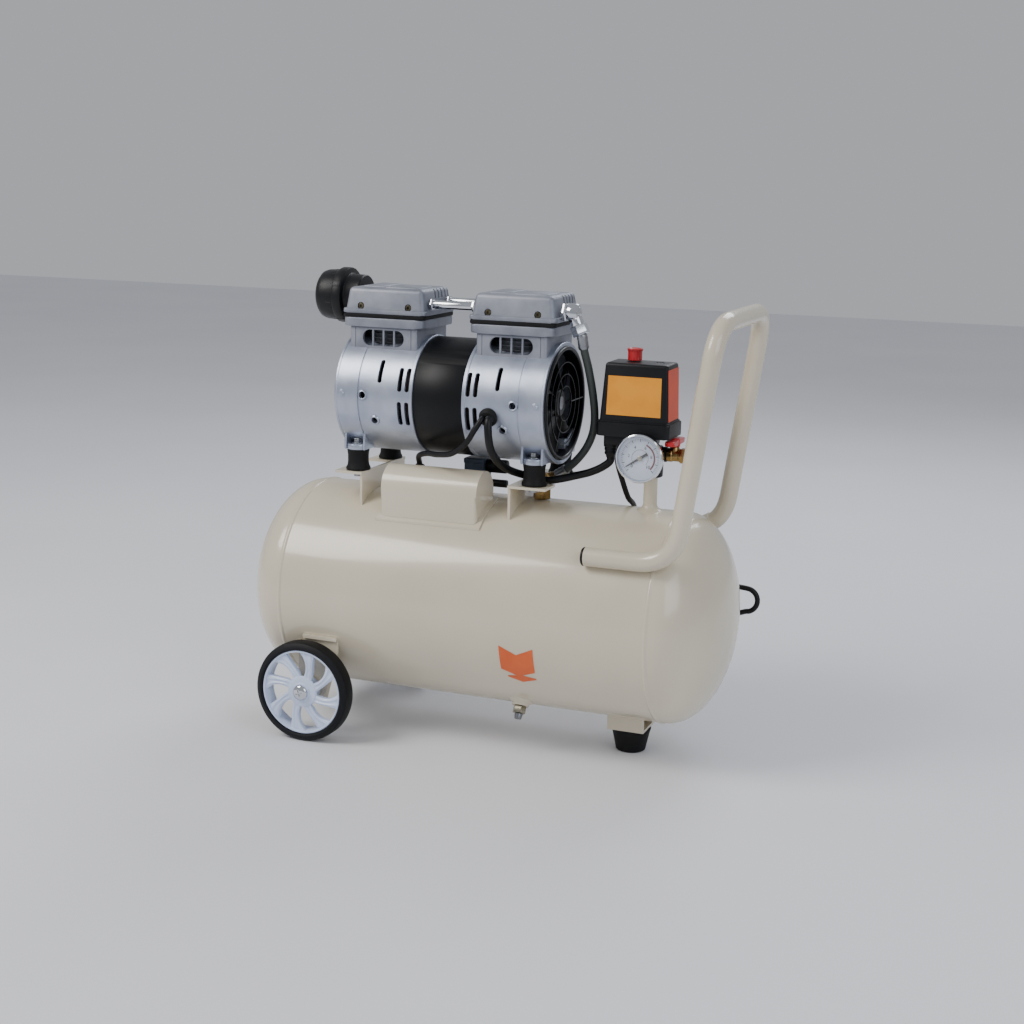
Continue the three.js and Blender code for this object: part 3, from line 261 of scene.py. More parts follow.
def prism(outline, place, depth, soft=0.0008, steps=2):
    """A flat outline pushed along the place's own Z, with both rims rounded."""
    shape = bmesh.new()
    low = [shape.verts.new(place @ Vector((a, b, 0))) for a, b in outline]
    high = [shape.verts.new(place @ Vector((a, b, depth))) for a, b in outline]
    caps = [shape.faces.new(low[::-1]), shape.faces.new(high)]
    for i in range(len(outline)):
        j = (i + 1) % len(outline)
        shape.faces.new((low[i], low[j], high[j], high[i]))
    if soft:
        rims = list({e for f in caps for e in f.edges})
        bmesh.ops.bevel(shape, geom=rims, offset=soft, segments=steps, profile=0.5, affect="EDGES")
    bmesh.ops.recalc_face_normals(shape, faces=shape.faces)
    return shape


def joined(*shapes):
    """All the shapes in one bmesh, each left as it is."""
    whole = bmesh.new()
    for shape in shapes:
        mesh = bpy.data.meshes.new("part")
        shape.to_mesh(mesh)
        shape.free()
        whole.from_mesh(mesh)
        bpy.data.meshes.remove(mesh)
    return whole


def spin(index, count, start=0.0):
    """The turn of one of count places round a frame's own Z."""
    return Matrix.Rotation(TAU * index / count + start, 4, "Z")


def moved(shape, matrix):
    bmesh.ops.transform(shape, matrix=matrix, verts=shape.verts)
    return shape


def cut(shape, tools):
    """The shape with the tools taken away."""
    made = []
    for bm in (shape, joined(*tools)):
        mesh = bpy.data.meshes.new("boolean")
        bm.to_mesh(mesh)
        bm.free()
        made.append(bpy.data.objects.new("boolean", mesh))
        bpy.context.collection.objects.link(made[-1])
    body, tool = made
    change = body.modifiers.new("cut", "BOOLEAN")
    change.operation = "DIFFERENCE"
    change.solver = "EXACT"
    change.use_self = True
    change.object = tool
    bpy.context.view_layer.update()
    result = bmesh.new()
    result.from_mesh(body.evaluated_get(bpy.context.evaluated_depsgraph_get()).to_mesh())
    for o in made:
        bpy.data.objects.remove(o)
    return result


def smooth_path(points, per=10):
    """A centripetal Catmull-Rom curve through the points."""
    pts = [Vector(p) for p in points]
    pts = [pts[0] * 2 - pts[1]] + pts + [pts[-1] * 2 - pts[-2]]
    path = []
    for a, b, c, d in zip(pts, pts[1:], pts[2:], pts[3:]):
        knots = [0.0]
        for p, q in ((a, b), (b, c), (c, d)):
            knots.append(knots[-1] + max((q - p).length, 1e-9) ** 0.5)
        for i in range(per):
            t = knots[1] + (knots[2] - knots[1]) * i / per
            path.append(spline_point((a, b, c, d), knots, t))
    return path + [pts[-2]]


def spline_point(corners, knots, t):
    """Three rounds of mixing neighbours, each between its own pair of knots."""
    level = list(corners)
    for size in (1, 2, 3):
        spans = [(knots[1], knots[2])] if size == 3 else zip(knots, knots[size:])
        level = [p.lerp(q, (t - start) / (end - start))
                 for p, q, (start, end) in zip(level, level[1:], spans)]
    return level[0]


def sweep(path, radius, sides=20, capped=True):
    """A round bar along a path. radius is a number, or a function of the share along it."""
    shape = bmesh.new()
    path = [Vector(p) for p in path]
    heading = (path[1] - path[0]).normalized()
    side = heading.orthogonal().normalized()
    rings = []
    for i, p in enumerate(path):
        ahead = (path[min(i + 1, len(path) - 1)] - path[max(i - 1, 0)]).normalized()
        side = (side - ahead * side.dot(ahead)).normalized()
        other = ahead.cross(side)
        r = radius(i / (len(path) - 1)) if callable(radius) else radius
        ring = [p + (side * math.cos(TAU * k / sides) + other * math.sin(TAU * k / sides)) * r
                for k in range(sides)]
        rings.append([shape.verts.new(q) for q in ring])
    for low, high in zip(rings, rings[1:]):
        for k in range(sides):
            shape.faces.new((low[k], low[(k + 1) % sides], high[(k + 1) % sides], high[k]))
    if capped:
        shape.faces.new(rings[0][::-1])
        shape.faces.new(rings[-1])
    return shape


def regular(sides, radius, turn=0.0):
    return [(radius * math.cos(turn + TAU * i / sides), radius * math.sin(turn + TAU * i / sides))
            for i in range(sides)]


def rounded_outline(half_a, half_b, corner, steps=6):
    outline = []
    for quarter, (sa, sb) in enumerate(((1, 1), (-1, 1), (-1, -1), (1, -1))):
        for i in range(steps + 1):
            angle = TAU / 4 * (quarter + i / steps)
            outline.append((sa * (half_a - corner) + corner * math.cos(angle),
                            sb * (half_b - corner) + corner * math.sin(angle)))
    return outline


def piece(name, shape, material, body="chassis", replaces=(), sharp=SHARP):
    """Turns a shape into an object that rides on a body and stands for some CAD nodes."""
    mesh = bpy.data.meshes.new(name)
    shape.to_mesh(mesh)
    shape.free()
    mesh.shade_smooth()
    mesh.set_sharp_from_angle(angle=sharp)
    mesh.materials.append(material)
    made = bpy.data.objects.new(name, mesh)
    bpy.context.collection.objects.link(made)
    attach(made, body)
    if replaces:
        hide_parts(*replaces)
    return made


# ---------- materials ----------
def linear(text):
    channels = [int(text[i:i + 2], 16) / 255 for i in (1, 3, 5)]
    return [c / 12.92 if c <= 0.04045 else ((c + 0.055) / 1.055) ** 2.4 for c in channels] + [1.0]


def surface(name, tint, shade, roughness, metallic=0.0, grain=900, bump=0.05, patch=14, spread=0.08,
            coat=0.0, stretch=(1, 1, 1), shine=0.5):
    """A finish with patchy colour, uneven gloss and a fine raised grain."""
    material = bpy.data.materials.new(name)
    material.use_nodes = True
    nodes, links = material.node_tree.nodes, material.node_tree.links
    shader = nodes["Principled BSDF"]
    shader.inputs["Metallic"].default_value = metallic
    shader.inputs["Specular IOR Level"].default_value = shine
    shader.inputs["Coat Weight"].default_value = coat
    shader.inputs["Coat Roughness"].default_value = 0.08
    place = nodes.new("ShaderNodeTexCoord")
    scaled = nodes.new("ShaderNodeMapping")
    scaled.inputs["Scale"].default_value = stretch
    links.new(place.outputs["Object"], scaled.inputs["Vector"])
    broad = noise_node(nodes, links, scaled.outputs["Vector"], patch, 5)
    fine = noise_node(nodes, links, scaled.outputs["Vector"], grain, 3)
    ramp = nodes.new("ShaderNodeValToRGB")
    ramp.color_ramp.elements[0].position = 0.3
    ramp.color_ramp.elements[0].color = linear(shade)
    ramp.color_ramp.elements[1].position = 0.62
    ramp.color_ramp.elements[1].color = linear(tint)
    links.new(broad.outputs["Fac"], ramp.inputs["Fac"])
    links.new(ramp.outputs["Color"], shader.inputs["Base Color"])
    gloss = nodes.new("ShaderNodeMapRange")
    gloss.inputs["To Min"].default_value = max(roughness - spread, 0.03)
    gloss.inputs["To Max"].default_value = roughness + spread
    links.new(broad.outputs["Fac"], gloss.inputs["Value"])
    links.new(gloss.outputs["Result"], shader.inputs["Roughness"])
    raised = nodes.new("ShaderNodeBump")
    raised.inputs["Strength"].default_value = bump
    raised.inputs["Distance"].default_value = 0.001
    links.new(fine.outputs["Fac"], raised.inputs["Height"])
    links.new(raised.outputs["Normal"], shader.inputs["Normal"])
    return material


def noise_node(nodes, links, place, scale, detail):
    made = nodes.new("ShaderNodeTexNoise")
    made.inputs["Scale"].default_value = scale
    made.inputs["Detail"].default_value = detail
    links.new(place, made.inputs["Vector"])
    return made


def braided(name, tint, shade):
    """A hose cover with fine diagonal ribs."""
    material = surface(name, tint, shade, 0.5, grain=700, bump=0.15)
    nodes, links = material.node_tree.nodes, material.node_tree.links
    wave = nodes.new("ShaderNodeTexWave")
    wave.bands_direction = "DIAGONAL"
    wave.inputs["Scale"].default_value = 420
    place = next(n for n in nodes if n.type == "TEX_COORD")
    links.new(place.outputs["Object"], wave.inputs["Vector"])
    raised = next(n for n in nodes if n.type == "BUMP")
    links.new(wave.outputs["Fac"], raised.inputs["Height"])
    return material


def clear_glass():
    """The gauge's window, nearly clear."""
    material = bpy.data.materials.new("lens_clear")
    material.use_nodes = True
    nodes, links = material.node_tree.nodes, material.node_tree.links
    shader = nodes["Principled BSDF"]
    shader.inputs["Base Color"].default_value = (0.95, 0.97, 0.98, 1)
    shader.inputs["Roughness"].default_value = 0.03
    shader.inputs["Alpha"].default_value = 0.06
    place = nodes.new("ShaderNodeTexCoord")
    fine = noise_node(nodes, links, place.outputs["Object"], 60, 2)
    raised = nodes.new("ShaderNodeBump")
    raised.inputs["Strength"].default_value = 0.01
    links.new(fine.outputs["Fac"], raised.inputs["Height"])
    links.new(raised.outputs["Normal"], shader.inputs["Normal"])
    return material


PAINT = surface("cream_enamel", "#d3c9b3", "#cbc1ab", 0.24, grain=260, bump=0.035, patch=6, spread=0.05,
                coat=0.45)
CAST = surface("satin_cast", "#b3bac9", "#9da4b5", 0.36, 0.75, grain=1400, bump=0.10, patch=30, spread=0.06)
RAW = surface("raw_casting", "#92959f", "#7b7f8a", 0.5, 0.55, grain=1100, bump=0.28, patch=40, spread=0.08)
CHROME = surface("bright_chrome", "#d9dce0", "#c3c7cd", 0.12, 1.0, grain=500, bump=0.01, patch=50,
                 spread=0.05)
BRASS = surface("machined_brass", "#a98d5c", "#866c44", 0.28, 1.0, grain=1500, bump=0.05, patch=90)
NICKEL = surface("dull_nickel", "#a8a391", "#85806e", 0.26, 1.0, grain=1500, bump=0.05, patch=90)
STEEL = surface("turned_steel", "#9a9ca0", "#7e8185", 0.32, 1.0, grain=1200, bump=0.05, patch=60)
RUBBER = surface("moulded_rubber", "#121214", "#0b0b0c", 0.62, grain=1600, bump=0.16, patch=60, shine=0.25)
TYRE = surface("tyre_rubber", "#101116", "#0a0b0e", 0.55, grain=1500, bump=0.18, patch=40, shine=0.25)
SHEATH = surface("cable_sheath", "#0f0f11", "#09090a", 0.4, grain=1800, bump=0.06, patch=80, shine=0.3)
PLASTIC = surface("black_plastic", "#111216", "#0b0c0f", 0.4, grain=2200, bump=0.12, patch=50, shine=0.3)
FAN_PLASTIC = surface("fan_plastic", "#0f1016", "#08090c", 0.34, grain=1800, bump=0.05, patch=50, shine=0.35)
RED = surface("red_plastic", "#c01a22", "#a3141b", 0.3, grain=1500, bump=0.05, patch=60, coat=0.2)
WHEEL = surface("wheel_plastic", "#d0dcf4", "#c0cde8", 0.36, grain=1300, bump=0.06, patch=30, coat=0.15)
LAMINATION = surface("black_laminations", "#0b0c10", "#07080b", 0.42, grain=60, bump=0.04, patch=30,
                     stretch=(60, 1, 1), shine=0.25)
ORANGE = surface("orange_label", "#ea9a22", "#df8c18", 0.42, grain=900, bump=0.03, patch=30)
RED_LABEL = surface("red_label", "#cb431c", "#b83a17", 0.42, grain=900, bump=0.03, patch=30)
TANK_LABEL = surface("tank_label", "#e0662e", "#d55a24", 0.38, grain=900, bump=0.03, patch=30)
WHITE = surface("dial_white", "#c9d1e2", "#bcc5d8", 0.5, grain=800, bump=0.02, patch=40)
INK = surface("dial_ink", "#101115", "#0a0b0d", 0.5, grain=800, bump=0.02, patch=40)
DARK_RED = surface("dial_red", "#6a1624", "#58101c", 0.5, grain=800, bump=0.02, patch=40)
RELAY = surface("relay_plastic", "#46566c", "#38465a", 0.42, grain=1500, bump=0.08, patch=50)
SHELL = surface("capacitor_shell", "#d6d6d0", "#c8c8c2", 0.35, grain=900, bump=0.04, patch=40)
COPPER = surface("winding_copper", "#33241e", "#241814", 0.45, 0.4, grain=700, bump=0.2, patch=200)
SLEEVE = surface("dark_sleeve", "#4a4d52", "#303237", 0.5, 0.5, grain=900, bump=0.1, patch=60)
# Near-black colour for the spiders inside the housings: painted shade, standing for the dark space behind the
# fan blades.
INNER_PAINTED_SHADE = surface("inner_casting_painted_shade", "#232428", "#16171a", 0.7, 0.2, grain=900, bump=0.1, patch=60, shine=0.2)
SCREW = surface("dull_screws", "#6d6653", "#4d483a", 0.38, 0.9, grain=900, bump=0.05, patch=120)
NYLON = surface("natural_nylon", "#d6cfbd", "#ccc4b1", 0.45, grain=1500, bump=0.06, patch=60)
HOSE = braided("braided_hose", "#3c4240", "#2a2e2d")
GLASS = clear_glass()


# ---------- mains cord ----------
def half_turn(x, z, radius, start, near, far, steps=8):
    """Half a turn clockwise round a point, from a start angle, while it slides from one depth to the next."""
    points = []
    for i in range(steps + 1):
        angle = start - TAU / 2 * i / steps
        depth = near + (far - near) * i / steps
        points.append((x + radius * math.cos(angle), depth, z + radius * math.sin(angle)))
    return points


def hank_points():
    """Turns folded round the hank's two ends, one beside the next, and a longer last bend to the plug."""
    points = [(TURN_ENDS[0] + 0.014, TURN_DEPTHS[0], HANK_Z + TURN_RADII[0])]
    following = TURN_DEPTHS[1:] + (LAST_DEPTH,)
    for radius, tuck, depth, after in zip(TURN_RADII, TURN_TUCKS, TURN_DEPTHS, following):
        points += half_turn(TURN_ENDS[1] - tuck, HANK_Z, radius, TAU / 4, depth, depth)
        points += half_turn(TURN_ENDS[0], HANK_Z, radius, -TAU / 4, depth, after)
    centre_x = HANK_HIGH.x - CORD_RADIUS - LAST_BEND
    points += half_turn(centre_x, HANK_Z + LAST_RISE - LAST_BEND, LAST_BEND, TAU / 4, LAST_DEPTH, LAST_DEPTH)
    return points + [(PLUG_HIGH.x + RELIEF - 0.004, PLUG_MIDDLE.y, PLUG_MIDDLE.z)]


def cord_path():
    return smooth_path(CORD_POINTS + hank_points(), per=3)


def mains_plug():
    """A plain two-pin plug with a ribbed grip and a strain relief."""
    low, high, centre = PLUG_LOW, PLUG_HIGH, PLUG_MIDDLE
    body = block((low.x + 0.019, low.y, low.z), high, 0.005, 4)
    ribs = [block((high.x - 0.016 + 0.004 * i, low.y + 0.0002, low.z + 0.003),
                  (high.x - 0.0145 + 0.004 * i, high.y - 0.0002, high.z - 0.0005), 0.0006)
            for i in range(3)]
    relief = rod((high.x - 0.002, centre.y, centre.z), (high.x + RELIEF, centre.y, centre.z), 0.0058, 0.0038)
    pins = []
    for z in (centre.z - PIN_SPREAD, centre.z + PIN_SPREAD):
        pins.append(rod((low.x, centre.y, z), (low.x + PIN_LENGTH, centre.y, z), 0.0022))
    grip = piece("plug_body", joined(body, relief, *ribs), PLASTIC, replaces=["power_plug"])
    return [grip, piece("plug_pins", joined(*pins), CHROME)]


def ribbon(points, across, width, thick=0.0012):
    """A closed flat strap through the points. across holds the strap's width direction at each point."""
    shape = bmesh.new()
    rows = []
    count = len(points)
    for i, (p, side) in enumerate(zip(points, across)):
        ahead = (points[(i + 1) % count] - points[i - 1]).normalized()
        out = ahead.cross(side).normalized()
        rows.append([shape.verts.new(p + side * (sx * width / 2) + out * (so * thick / 2))
                     for sx, so in ((-1, -1), (1, -1), (1, 1), (-1, 1))])
    for low, high in zip(rows, rows[1:] + rows[:1]):
        for k in range(4):
            shape.faces.new((low[k], low[(k + 1) % 4], high[(k + 1) % 4], high[k]))
    bmesh.ops.recalc_face_normals(shape, faces=shape.faces)
    return shape


def hanging_strap():
    """The strap that hangs the hank on the handle's rear bend, where the tube is off the tank."""
    tube = handle_path()[::-1]
    hold = min(range(len(tube)), key=lambda i: abs(tube[i].x - STRAP_AT) + abs(tube[i].z - STRAP_TOP))
    centre = tube[hold]
    along = (tube[hold + 1] - tube[hold - 1]).normalized()
    up = along.cross(Y)
    up = up if up.z > 0 else -up
    lean, reach = math.radians(24), HANDLE_RADIUS + 0.0010
    points, across = [], []
    for i in range(17):
        angle = lean + TAU / 2 * i / 16
        points.append(centre + (Y * math.cos(angle) + up * math.sin(angle)) * reach)
        across.append(along if along.x > 0 else -along)
    for degrees in (146, 155, 164):
        points.append(on_tank(STRAP_AT, degrees, 0.0016))
        across.append(X)
    near, far, top, low = 0.1279, LAST_DEPTH + 0.0040, HANK_Z + 0.0190, HANK_Z + 0.0120
    hank_side = ((near, top), (near, low + 0.0015), (near + 0.0015, low), (far - 0.0015, low),
                 (far, low + 0.0015), (far, top))
    for y, z in hank_side:
        points.append(Vector((STRAP_AT, y, z)))
        across.append(X)
    return ribbon(points, across, STRAP_WIDTH)


def hank_bands():
    """Two bands that keep the turns together."""
    far = LAST_DEPTH + CORD_RADIUS
    outer = [block((x, HANK_LOW.y - 0.0010, HANK_LOW.z - 0.0005),
                   (x + BAND_WIDTH, far + 0.0010, HANK_HIGH.z + 0.0012), 0.0008) for x in BAND_STARTS]
    inner = [block((x - 0.001, HANK_LOW.y + 0.0001, HANK_LOW.z + 0.0006),
                   (x + BAND_WIDTH + 0.001, far, HANK_HIGH.z + 0.0002), 0.0004) for x in BAND_STARTS]
    return cut(joined(*outer), inner)


def mains_cord():
    path = cord_path()
    cord = piece("mains_cord", sweep(path, CORD_RADIUS, 12), SHEATH,
                 replaces=["power_cord", "cord_hank"])
    bands = piece("hank_bands", hank_bands(), PLASTIC)
    strap = piece("hank_strap", hanging_strap(), NYLON)
    mains_plug()


# ---------- tank ----------
def tank():
    """The shell with its domes and seam beads, the riser for the fittings and the boss of the drain."""
    dome = []
    steps = 28
    for i in range(steps + 1):
        angle = TAU / 4 * i / steps
        dome.append((-TANK_SEAM - TANK_DOME * math.cos(angle), TANK_RADIUS * math.sin(angle)))
    bead = [(-TANK_SEAM + 0.0010, 0.0001), (-TANK_SEAM + 0.0022, 0.0009), (-TANK_SEAM + 0.0035, 0.0012),
            (-TANK_SEAM + 0.0048, 0.0009), (-TANK_SEAM + 0.0060, 0.0001)]
    half = dome + [(a, TANK_RADIUS + r) for a, r in bead]
    profile = half + [(-a, r) for a, r in reversed(half)]
    profile[0], profile[-1] = (profile[0][0], 0), (profile[-1][0], 0)
    shell = turned(profile, aim((TANK_X, 0, TANK_Z), X), 160)
    rise = TANK_HIGH.z - TANK_TOP + WELD_DEPTH
    riser_profile = [(0, 0), (0, 0.0165), (0.0015, 0.0150), (0.0035, 0.0110), (0.0058, 0.0090),
                     (0.0085, 0.0081), (rise - 0.0005, 0.0080), (rise, 0.0076), (rise, 0.0)]
    riser = turned(riser_profile, aim((RISER_X, 0, TANK_TOP - WELD_DEPTH), Z), 64)
    boss_profile = [(0, 0), (0, 0.0165), (0.0018, 0.0140), (0.004, 0.0105), (0.0066, 0.0098),
                    (0.0072, 0.0092), (0.0072, 0.0)]
    boss = turned(boss_profile, aim(drain_base(), radial(DRAIN_ANGLE)), 48)
    piece("tank_shell", joined(shell, riser, boss), PAINT, replaces=["tank"])


def drain_base():
    return Vector((middle("drain_body").x, 0, TANK_Z)) + radial(DRAIN_ANGLE) * (TANK_RADIUS - WELD_DEPTH)


def drain():
    out = radial(DRAIN_ANGLE)
    place = aim(drain_base() + out * 0.0075, out)
    hexagon = prism(regular(6, 0.008), place, 0.0087, 0.0007)
    piece("drain_hexagon", hexagon, NICKEL, replaces=["drain_body"])
    knob = [(0.0090, 0.0), (0.0090, 0.0046), (0.0097, 0.0050), (0.0112, 0.0048), (0.0150, 0.0042),
            (0.0157, 0.0034), (0.0157, 0.0)]
    ring = turned(knob, place, 36)
    slot = block((-0.0006, -0.006, 0.0149), (0.0006, 0.006, 0.02), 0.0001, 1)
    piece("drain_knob_cap", cut(ring, [moved(slot, place)]), STEEL, body="drain_knob",
          replaces=["drain_screw"])


def on_tank(x, degrees, lift):
    """A point of the tank's skin, measured down from the level of its axis on the front side."""
    return Vector((x, 0, TANK_Z)) + radial(degrees) * (TANK_RADIUS + lift)


def tank_label():
    """A plain orange label, shaped like an open book over a chevron, with no writing."""
    book = label_grid(0.0, lambda s: (-25.8 - 4.0 * book_dip(s), -11.0 - 4.6 * book_dip(s)))
    chevron = label_grid(0.16, lambda s: (-31.0 - 3.0 * chevron_dip(s), -30.2 + 1.4 * chevron_dip(s)))
    piece("tank_label", joined(book, chevron), TANK_LABEL)


def book_dip(share):
    return 1 - abs(2 * share - 1)


def chevron_dip(share):
    return 1 - abs((share - 0.58) / 0.42)


def label_grid(start, span_of, columns=24, rows=8):
    """A sheet on the tank, from a share of the label's width to its end. span_of gives its two angles."""
    shape = bmesh.new()
    grid = []
    for i in range(columns + 1):
        share = start + (1.0 - start) * i / columns
        low, high = span_of(share)
        x = LABEL_START + LABEL_WIDTH * share
        angles = [low + (high - low) * k / rows for k in range(rows + 1)]
        grid.append([shape.verts.new(on_tank(x, angle, LABEL_THICK)) for angle in angles])
    for a, b in zip(grid, grid[1:]):
        for k in range(rows):
            shape.faces.new((a[k], b[k], b[k + 1], a[k + 1]))
    return shape


# ---------- wheels and foot ----------
def wheel_axis(side):
    """The wheel's centre and its outward direction."""
    return middle(f"tyre_{side}"), -Y if side == "front" else Y


def wheel(side):
    """A tyre with rounded shoulders round a spoked rim, both on the wheel's body."""
    place = aim(*wheel_axis(side))
    body = f"wheel_{side}"
    half, r = HALF_TYRE, WHEEL_RADIUS
    tyre = [(-half, RIM_RADIUS + 0.0005), (-half, r - 0.0070), (-half + 0.0008, r - 0.0040),
            (-half + 0.0030, r - 0.0012), (-half + 0.0062, r - 0.0001), (half - 0.0062, r - 0.0001),
            (half - 0.0030, r - 0.0012), (half - 0.0008, r - 0.0040), (half, r - 0.0070),
            (half - 0.0002, RIM_RADIUS + 0.0022), (half - 0.0012, RIM_RADIUS + 0.0005),
            (-half, RIM_RADIUS + 0.0005)]
    piece(f"tyre_{side}_skin", turned(tyre, place, 128), TYRE, body=body,
          replaces=[f"tyre_{side}"])
    rim = RIM_RADIUS + 0.0003
    inner = 0.001 - half
    barrel = [(inner, rim - 0.0030), (inner, rim), (0.0085, rim), (0.0098, rim - 0.0006),
              (0.0102, rim - 0.0016), (0.0098, rim - 0.0026), (0.0080, rim - 0.0032), (inner, rim - 0.0030)]
    hub = [(inner, HUB_BORE), (inner, HUB_RADIUS), (0.0035, 0.0170), (0.0060, 0.0196), (0.0078, 0.0184),
           (0.0085, HUB_RADIUS), (0.0085, 0.0115), (0.0100, 0.0105), (0.0108, HUB_BORE), (inner, HUB_BORE)]
    spokes = [moved(spoke(), spin(i, SPOKES, SPOKE_PHASE)) for i in range(SPOKES)]
    shape = joined(turned(barrel, Matrix.Identity(4), 128), turned(hub, Matrix.Identity(4), 64), *spokes)
    piece(f"rim_{side}_spoked", moved(shape, place), WHEEL, body=body,
          replaces=[f"rim_{side}"])


def spoke():
    """One spoke in the wheel's own frame: it bows sideways, and a groove runs along its face."""
    shape = bmesh.new()
    rows = []
    for i in range(SPOKE_STATIONS + 1):
        share = i / SPOKE_STATIONS
        radius = HUB_RADIUS + (RIM_RADIUS - 0.0025 - HUB_RADIUS) * share
        lean = math.radians(17) * share ** 1.3
        half = 0.0058 - 0.0014 * math.sin(math.pi * min(share * 1.1, 1.0)) + 0.0040 * share ** 5
        ridge = 0.0016 * min(1.0, 4 * share)
        row = []
        for across, up in SPOKE_SECTION:
            angle = lean + across * half / radius
            spot = (radius * math.cos(angle), radius * math.sin(angle), SPOKE_FACE + up * ridge)
            row.append(shape.verts.new(spot))
        rows.append(row)
    count = len(SPOKE_SECTION)
    for low, high in zip(rows, rows[1:]):
        for k in range(count):
            shape.faces.new((low[k], low[(k + 1) % count], high[(k + 1) % count], high[k]))
    shape.faces.new(rows[0][::-1])
    shape.faces.new(rows[-1])
    bmesh.ops.recalc_face_normals(shape, faces=shape.faces)
    return shape


def wheel_bolt(side):
    """A domed head with a crossed slot outside, the shank, and a collar and nut inside."""
    centre, outward = wheel_axis(side)
    place = aim(centre, outward)
    head = [(0.0111, 0.0), (0.0111, 0.0092), (0.0119, 0.0095), (0.0131, 0.0090), (0.0142, 0.0077),
            (0.0152, 0.0052), (0.0156, 0.0)]
    slots = [moved(block((-0.0045, -0.0008, 0.0143), (0.0045, 0.0008, 0.02), 0.0003, 1),
                   place @ Matrix.Rotation(math.radians(a), 4, "Z")) for a in (20, 110)]
    shank = rod(centre - outward * 0.022, centre + outward * 0.0112, 0.006)
    nut = prism(regular(6, 0.0100), aim(centre - outward * 0.0235, outward), 0.0060, 0.0006)
    collar = rod(centre - outward * 0.0140, centre - outward * 0.0123, 0.0098)
    shape = joined(cut(turned(head, place, 48), slots), shank, nut, collar)
    piece(f"wheel_bolt_{side}_dome", shape, CHROME, replaces=[f"wheel_bolt_{side}"])


def foot():
    """The tapered rubber foot and the screw that holds it."""
    low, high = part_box("foot")
    centre = (low + high) / 2
    profile = [(0, 0), (0, 0.0165), (0.0012, 0.0178), (0.0040, 0.0184), (0.0230, 0.0226), (0.0262, 0.0238),
               (0.0282, 0.0239), (0.0290, 0.0232), (0.0290, 0.0)]
    body = turned(profile, aim((centre.x, 0, 0), Z), 72)
    piece("rubber_foot", body, RUBBER, replaces=["foot"])
    screw = joined(rod((centre.x, 0, 0.0285), (centre.x, 0, high.z), 0.0038),
                   prism(regular(6, 0.0065), aim((centre.x, 0, 0.0324), Z), 0.0042, 0.0005))
    piece("foot_screw", screw, STEEL)


# ---------- rubber mounts ----------
def rubber_mount(node):
    """A waisted rubber block, with a nut below it and a washer and nut on the housing's pad."""
    low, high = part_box(node)
    x, y = (low.x + high.x) / 2, (low.y + high.y) / 2
    base = high.z - 0.0249
    profile = [(0, 0), (0, 0.0146), (0.0010, 0.0150), (0.0030, 0.0147), (0.0060, 0.0132), (0.0110, 0.0126),
               (0.0180, 0.0127), (0.0225, 0.0133), (0.0243, 0.0136), (0.0249, 0.0131), (0.0249, 0.0)]
    piece(f"{node}_rubber", turned(profile, aim((x, y, base), Z), 64), RUBBER,
          replaces=[node])
    lower_nut = prism(regular(6, 0.0062), aim((x, y, base - 0.0083), Z), 0.0048, 0.0005)
    stud = rod((x, y, base - 0.0088), (x, y, base + 0.001), 0.0034)
    washer = rod((x, y, high.z + 0.0073), (x, y, high.z + 0.0086), 0.0080)
    cap = prism(regular(6, 0.0058), aim((x, y, high.z + 0.0084), Z), 0.0052, 0.0006)
    piece(f"{node}_screws", joined(lower_nut, stud, washer, cap), STEEL)


# ---------- motor ----------
def housing_frame(side):
    """Z of this frame runs outward along the shaft from the motor's middle, its X stays up."""
    axis = X * side
    basis = Matrix((Z, axis.cross(Z), axis)).transposed()
    return Matrix.Translation(MOTOR) @ basis.to_4x4()


def skin_tool(side, u, degrees, size):
    """A long hole's cutter, standing on the housing at a height angle on the front (or rear)."""
    out = radial(degrees)
    basis = Matrix((X, X.cross(out), out)).transposed().to_4x4()
    place = Matrix.Translation(MOTOR + X * (side * u) + out * (HOUSING - 0.008)) @ basis
    length, width = size
    return prism(rounded_outline(width / 2, length / 2, width / 2 - 0.0002, 5), place, 0.014, 0)


def vents(side):
    """Cutters of the slots and round holes, on the front and mirrored on the rear."""
    tools = []
    for flip in FLIPS:
        tools += [skin_tool(side, u, flip(a), SLOT_SIZE) for u, a in SLOTS]
        tools += [skin_tool(side, u, flip(a), HOLE_SIZE) for u, a in HOLES]
    return tools


def rim_rings(side):
    """Raised lips round the two round holes."""
    profile = [(0, 0.0041), (0.0012, 0.0041), (0.0014, 0.0047), (0.0011, 0.0055), (-0.0004, 0.0064),
               (-0.0004, 0.0041), (0, 0.0041)]
    rings = []
    for flip in FLIPS:
        for u, degrees in HOLES:
            out = radial(flip(degrees))
            rings.append(turned(profile, aim(MOTOR + X * (side * u) + out * HOUSING, out), 28))
    return rings


def side_name(side):
    return "right" if side > 0 else "left"


def housing_shell(side):
    """The round shell: a lip at the stator, a parting groove, a rim at the fan, and the vents."""
    near, far, r = STATOR_HALF, HOUSING_END, HOUSING
    outer = [(near, INNER_HOUSING), (near, r - 0.0005), (near + 0.0006, r + 0.0004),
             (near + 0.0040, r + 0.0004), (near + 0.0048, r - 0.0004), (PARTING - 0.0010, r - 0.0004),
             (PARTING - 0.0004, r - 0.0010), (PARTING + 0.0004, r - 0.0010), (PARTING + 0.0010, r),
             (far - 0.0032, r), (far - 0.0026, r + 0.0006), (far - 0.0006, r + 0.0006), (far, r),
             (far, INNER_HOUSING), (near, INNER_HOUSING)]
    return cut(turned(outer, housing_frame(side), 144), vents(side))


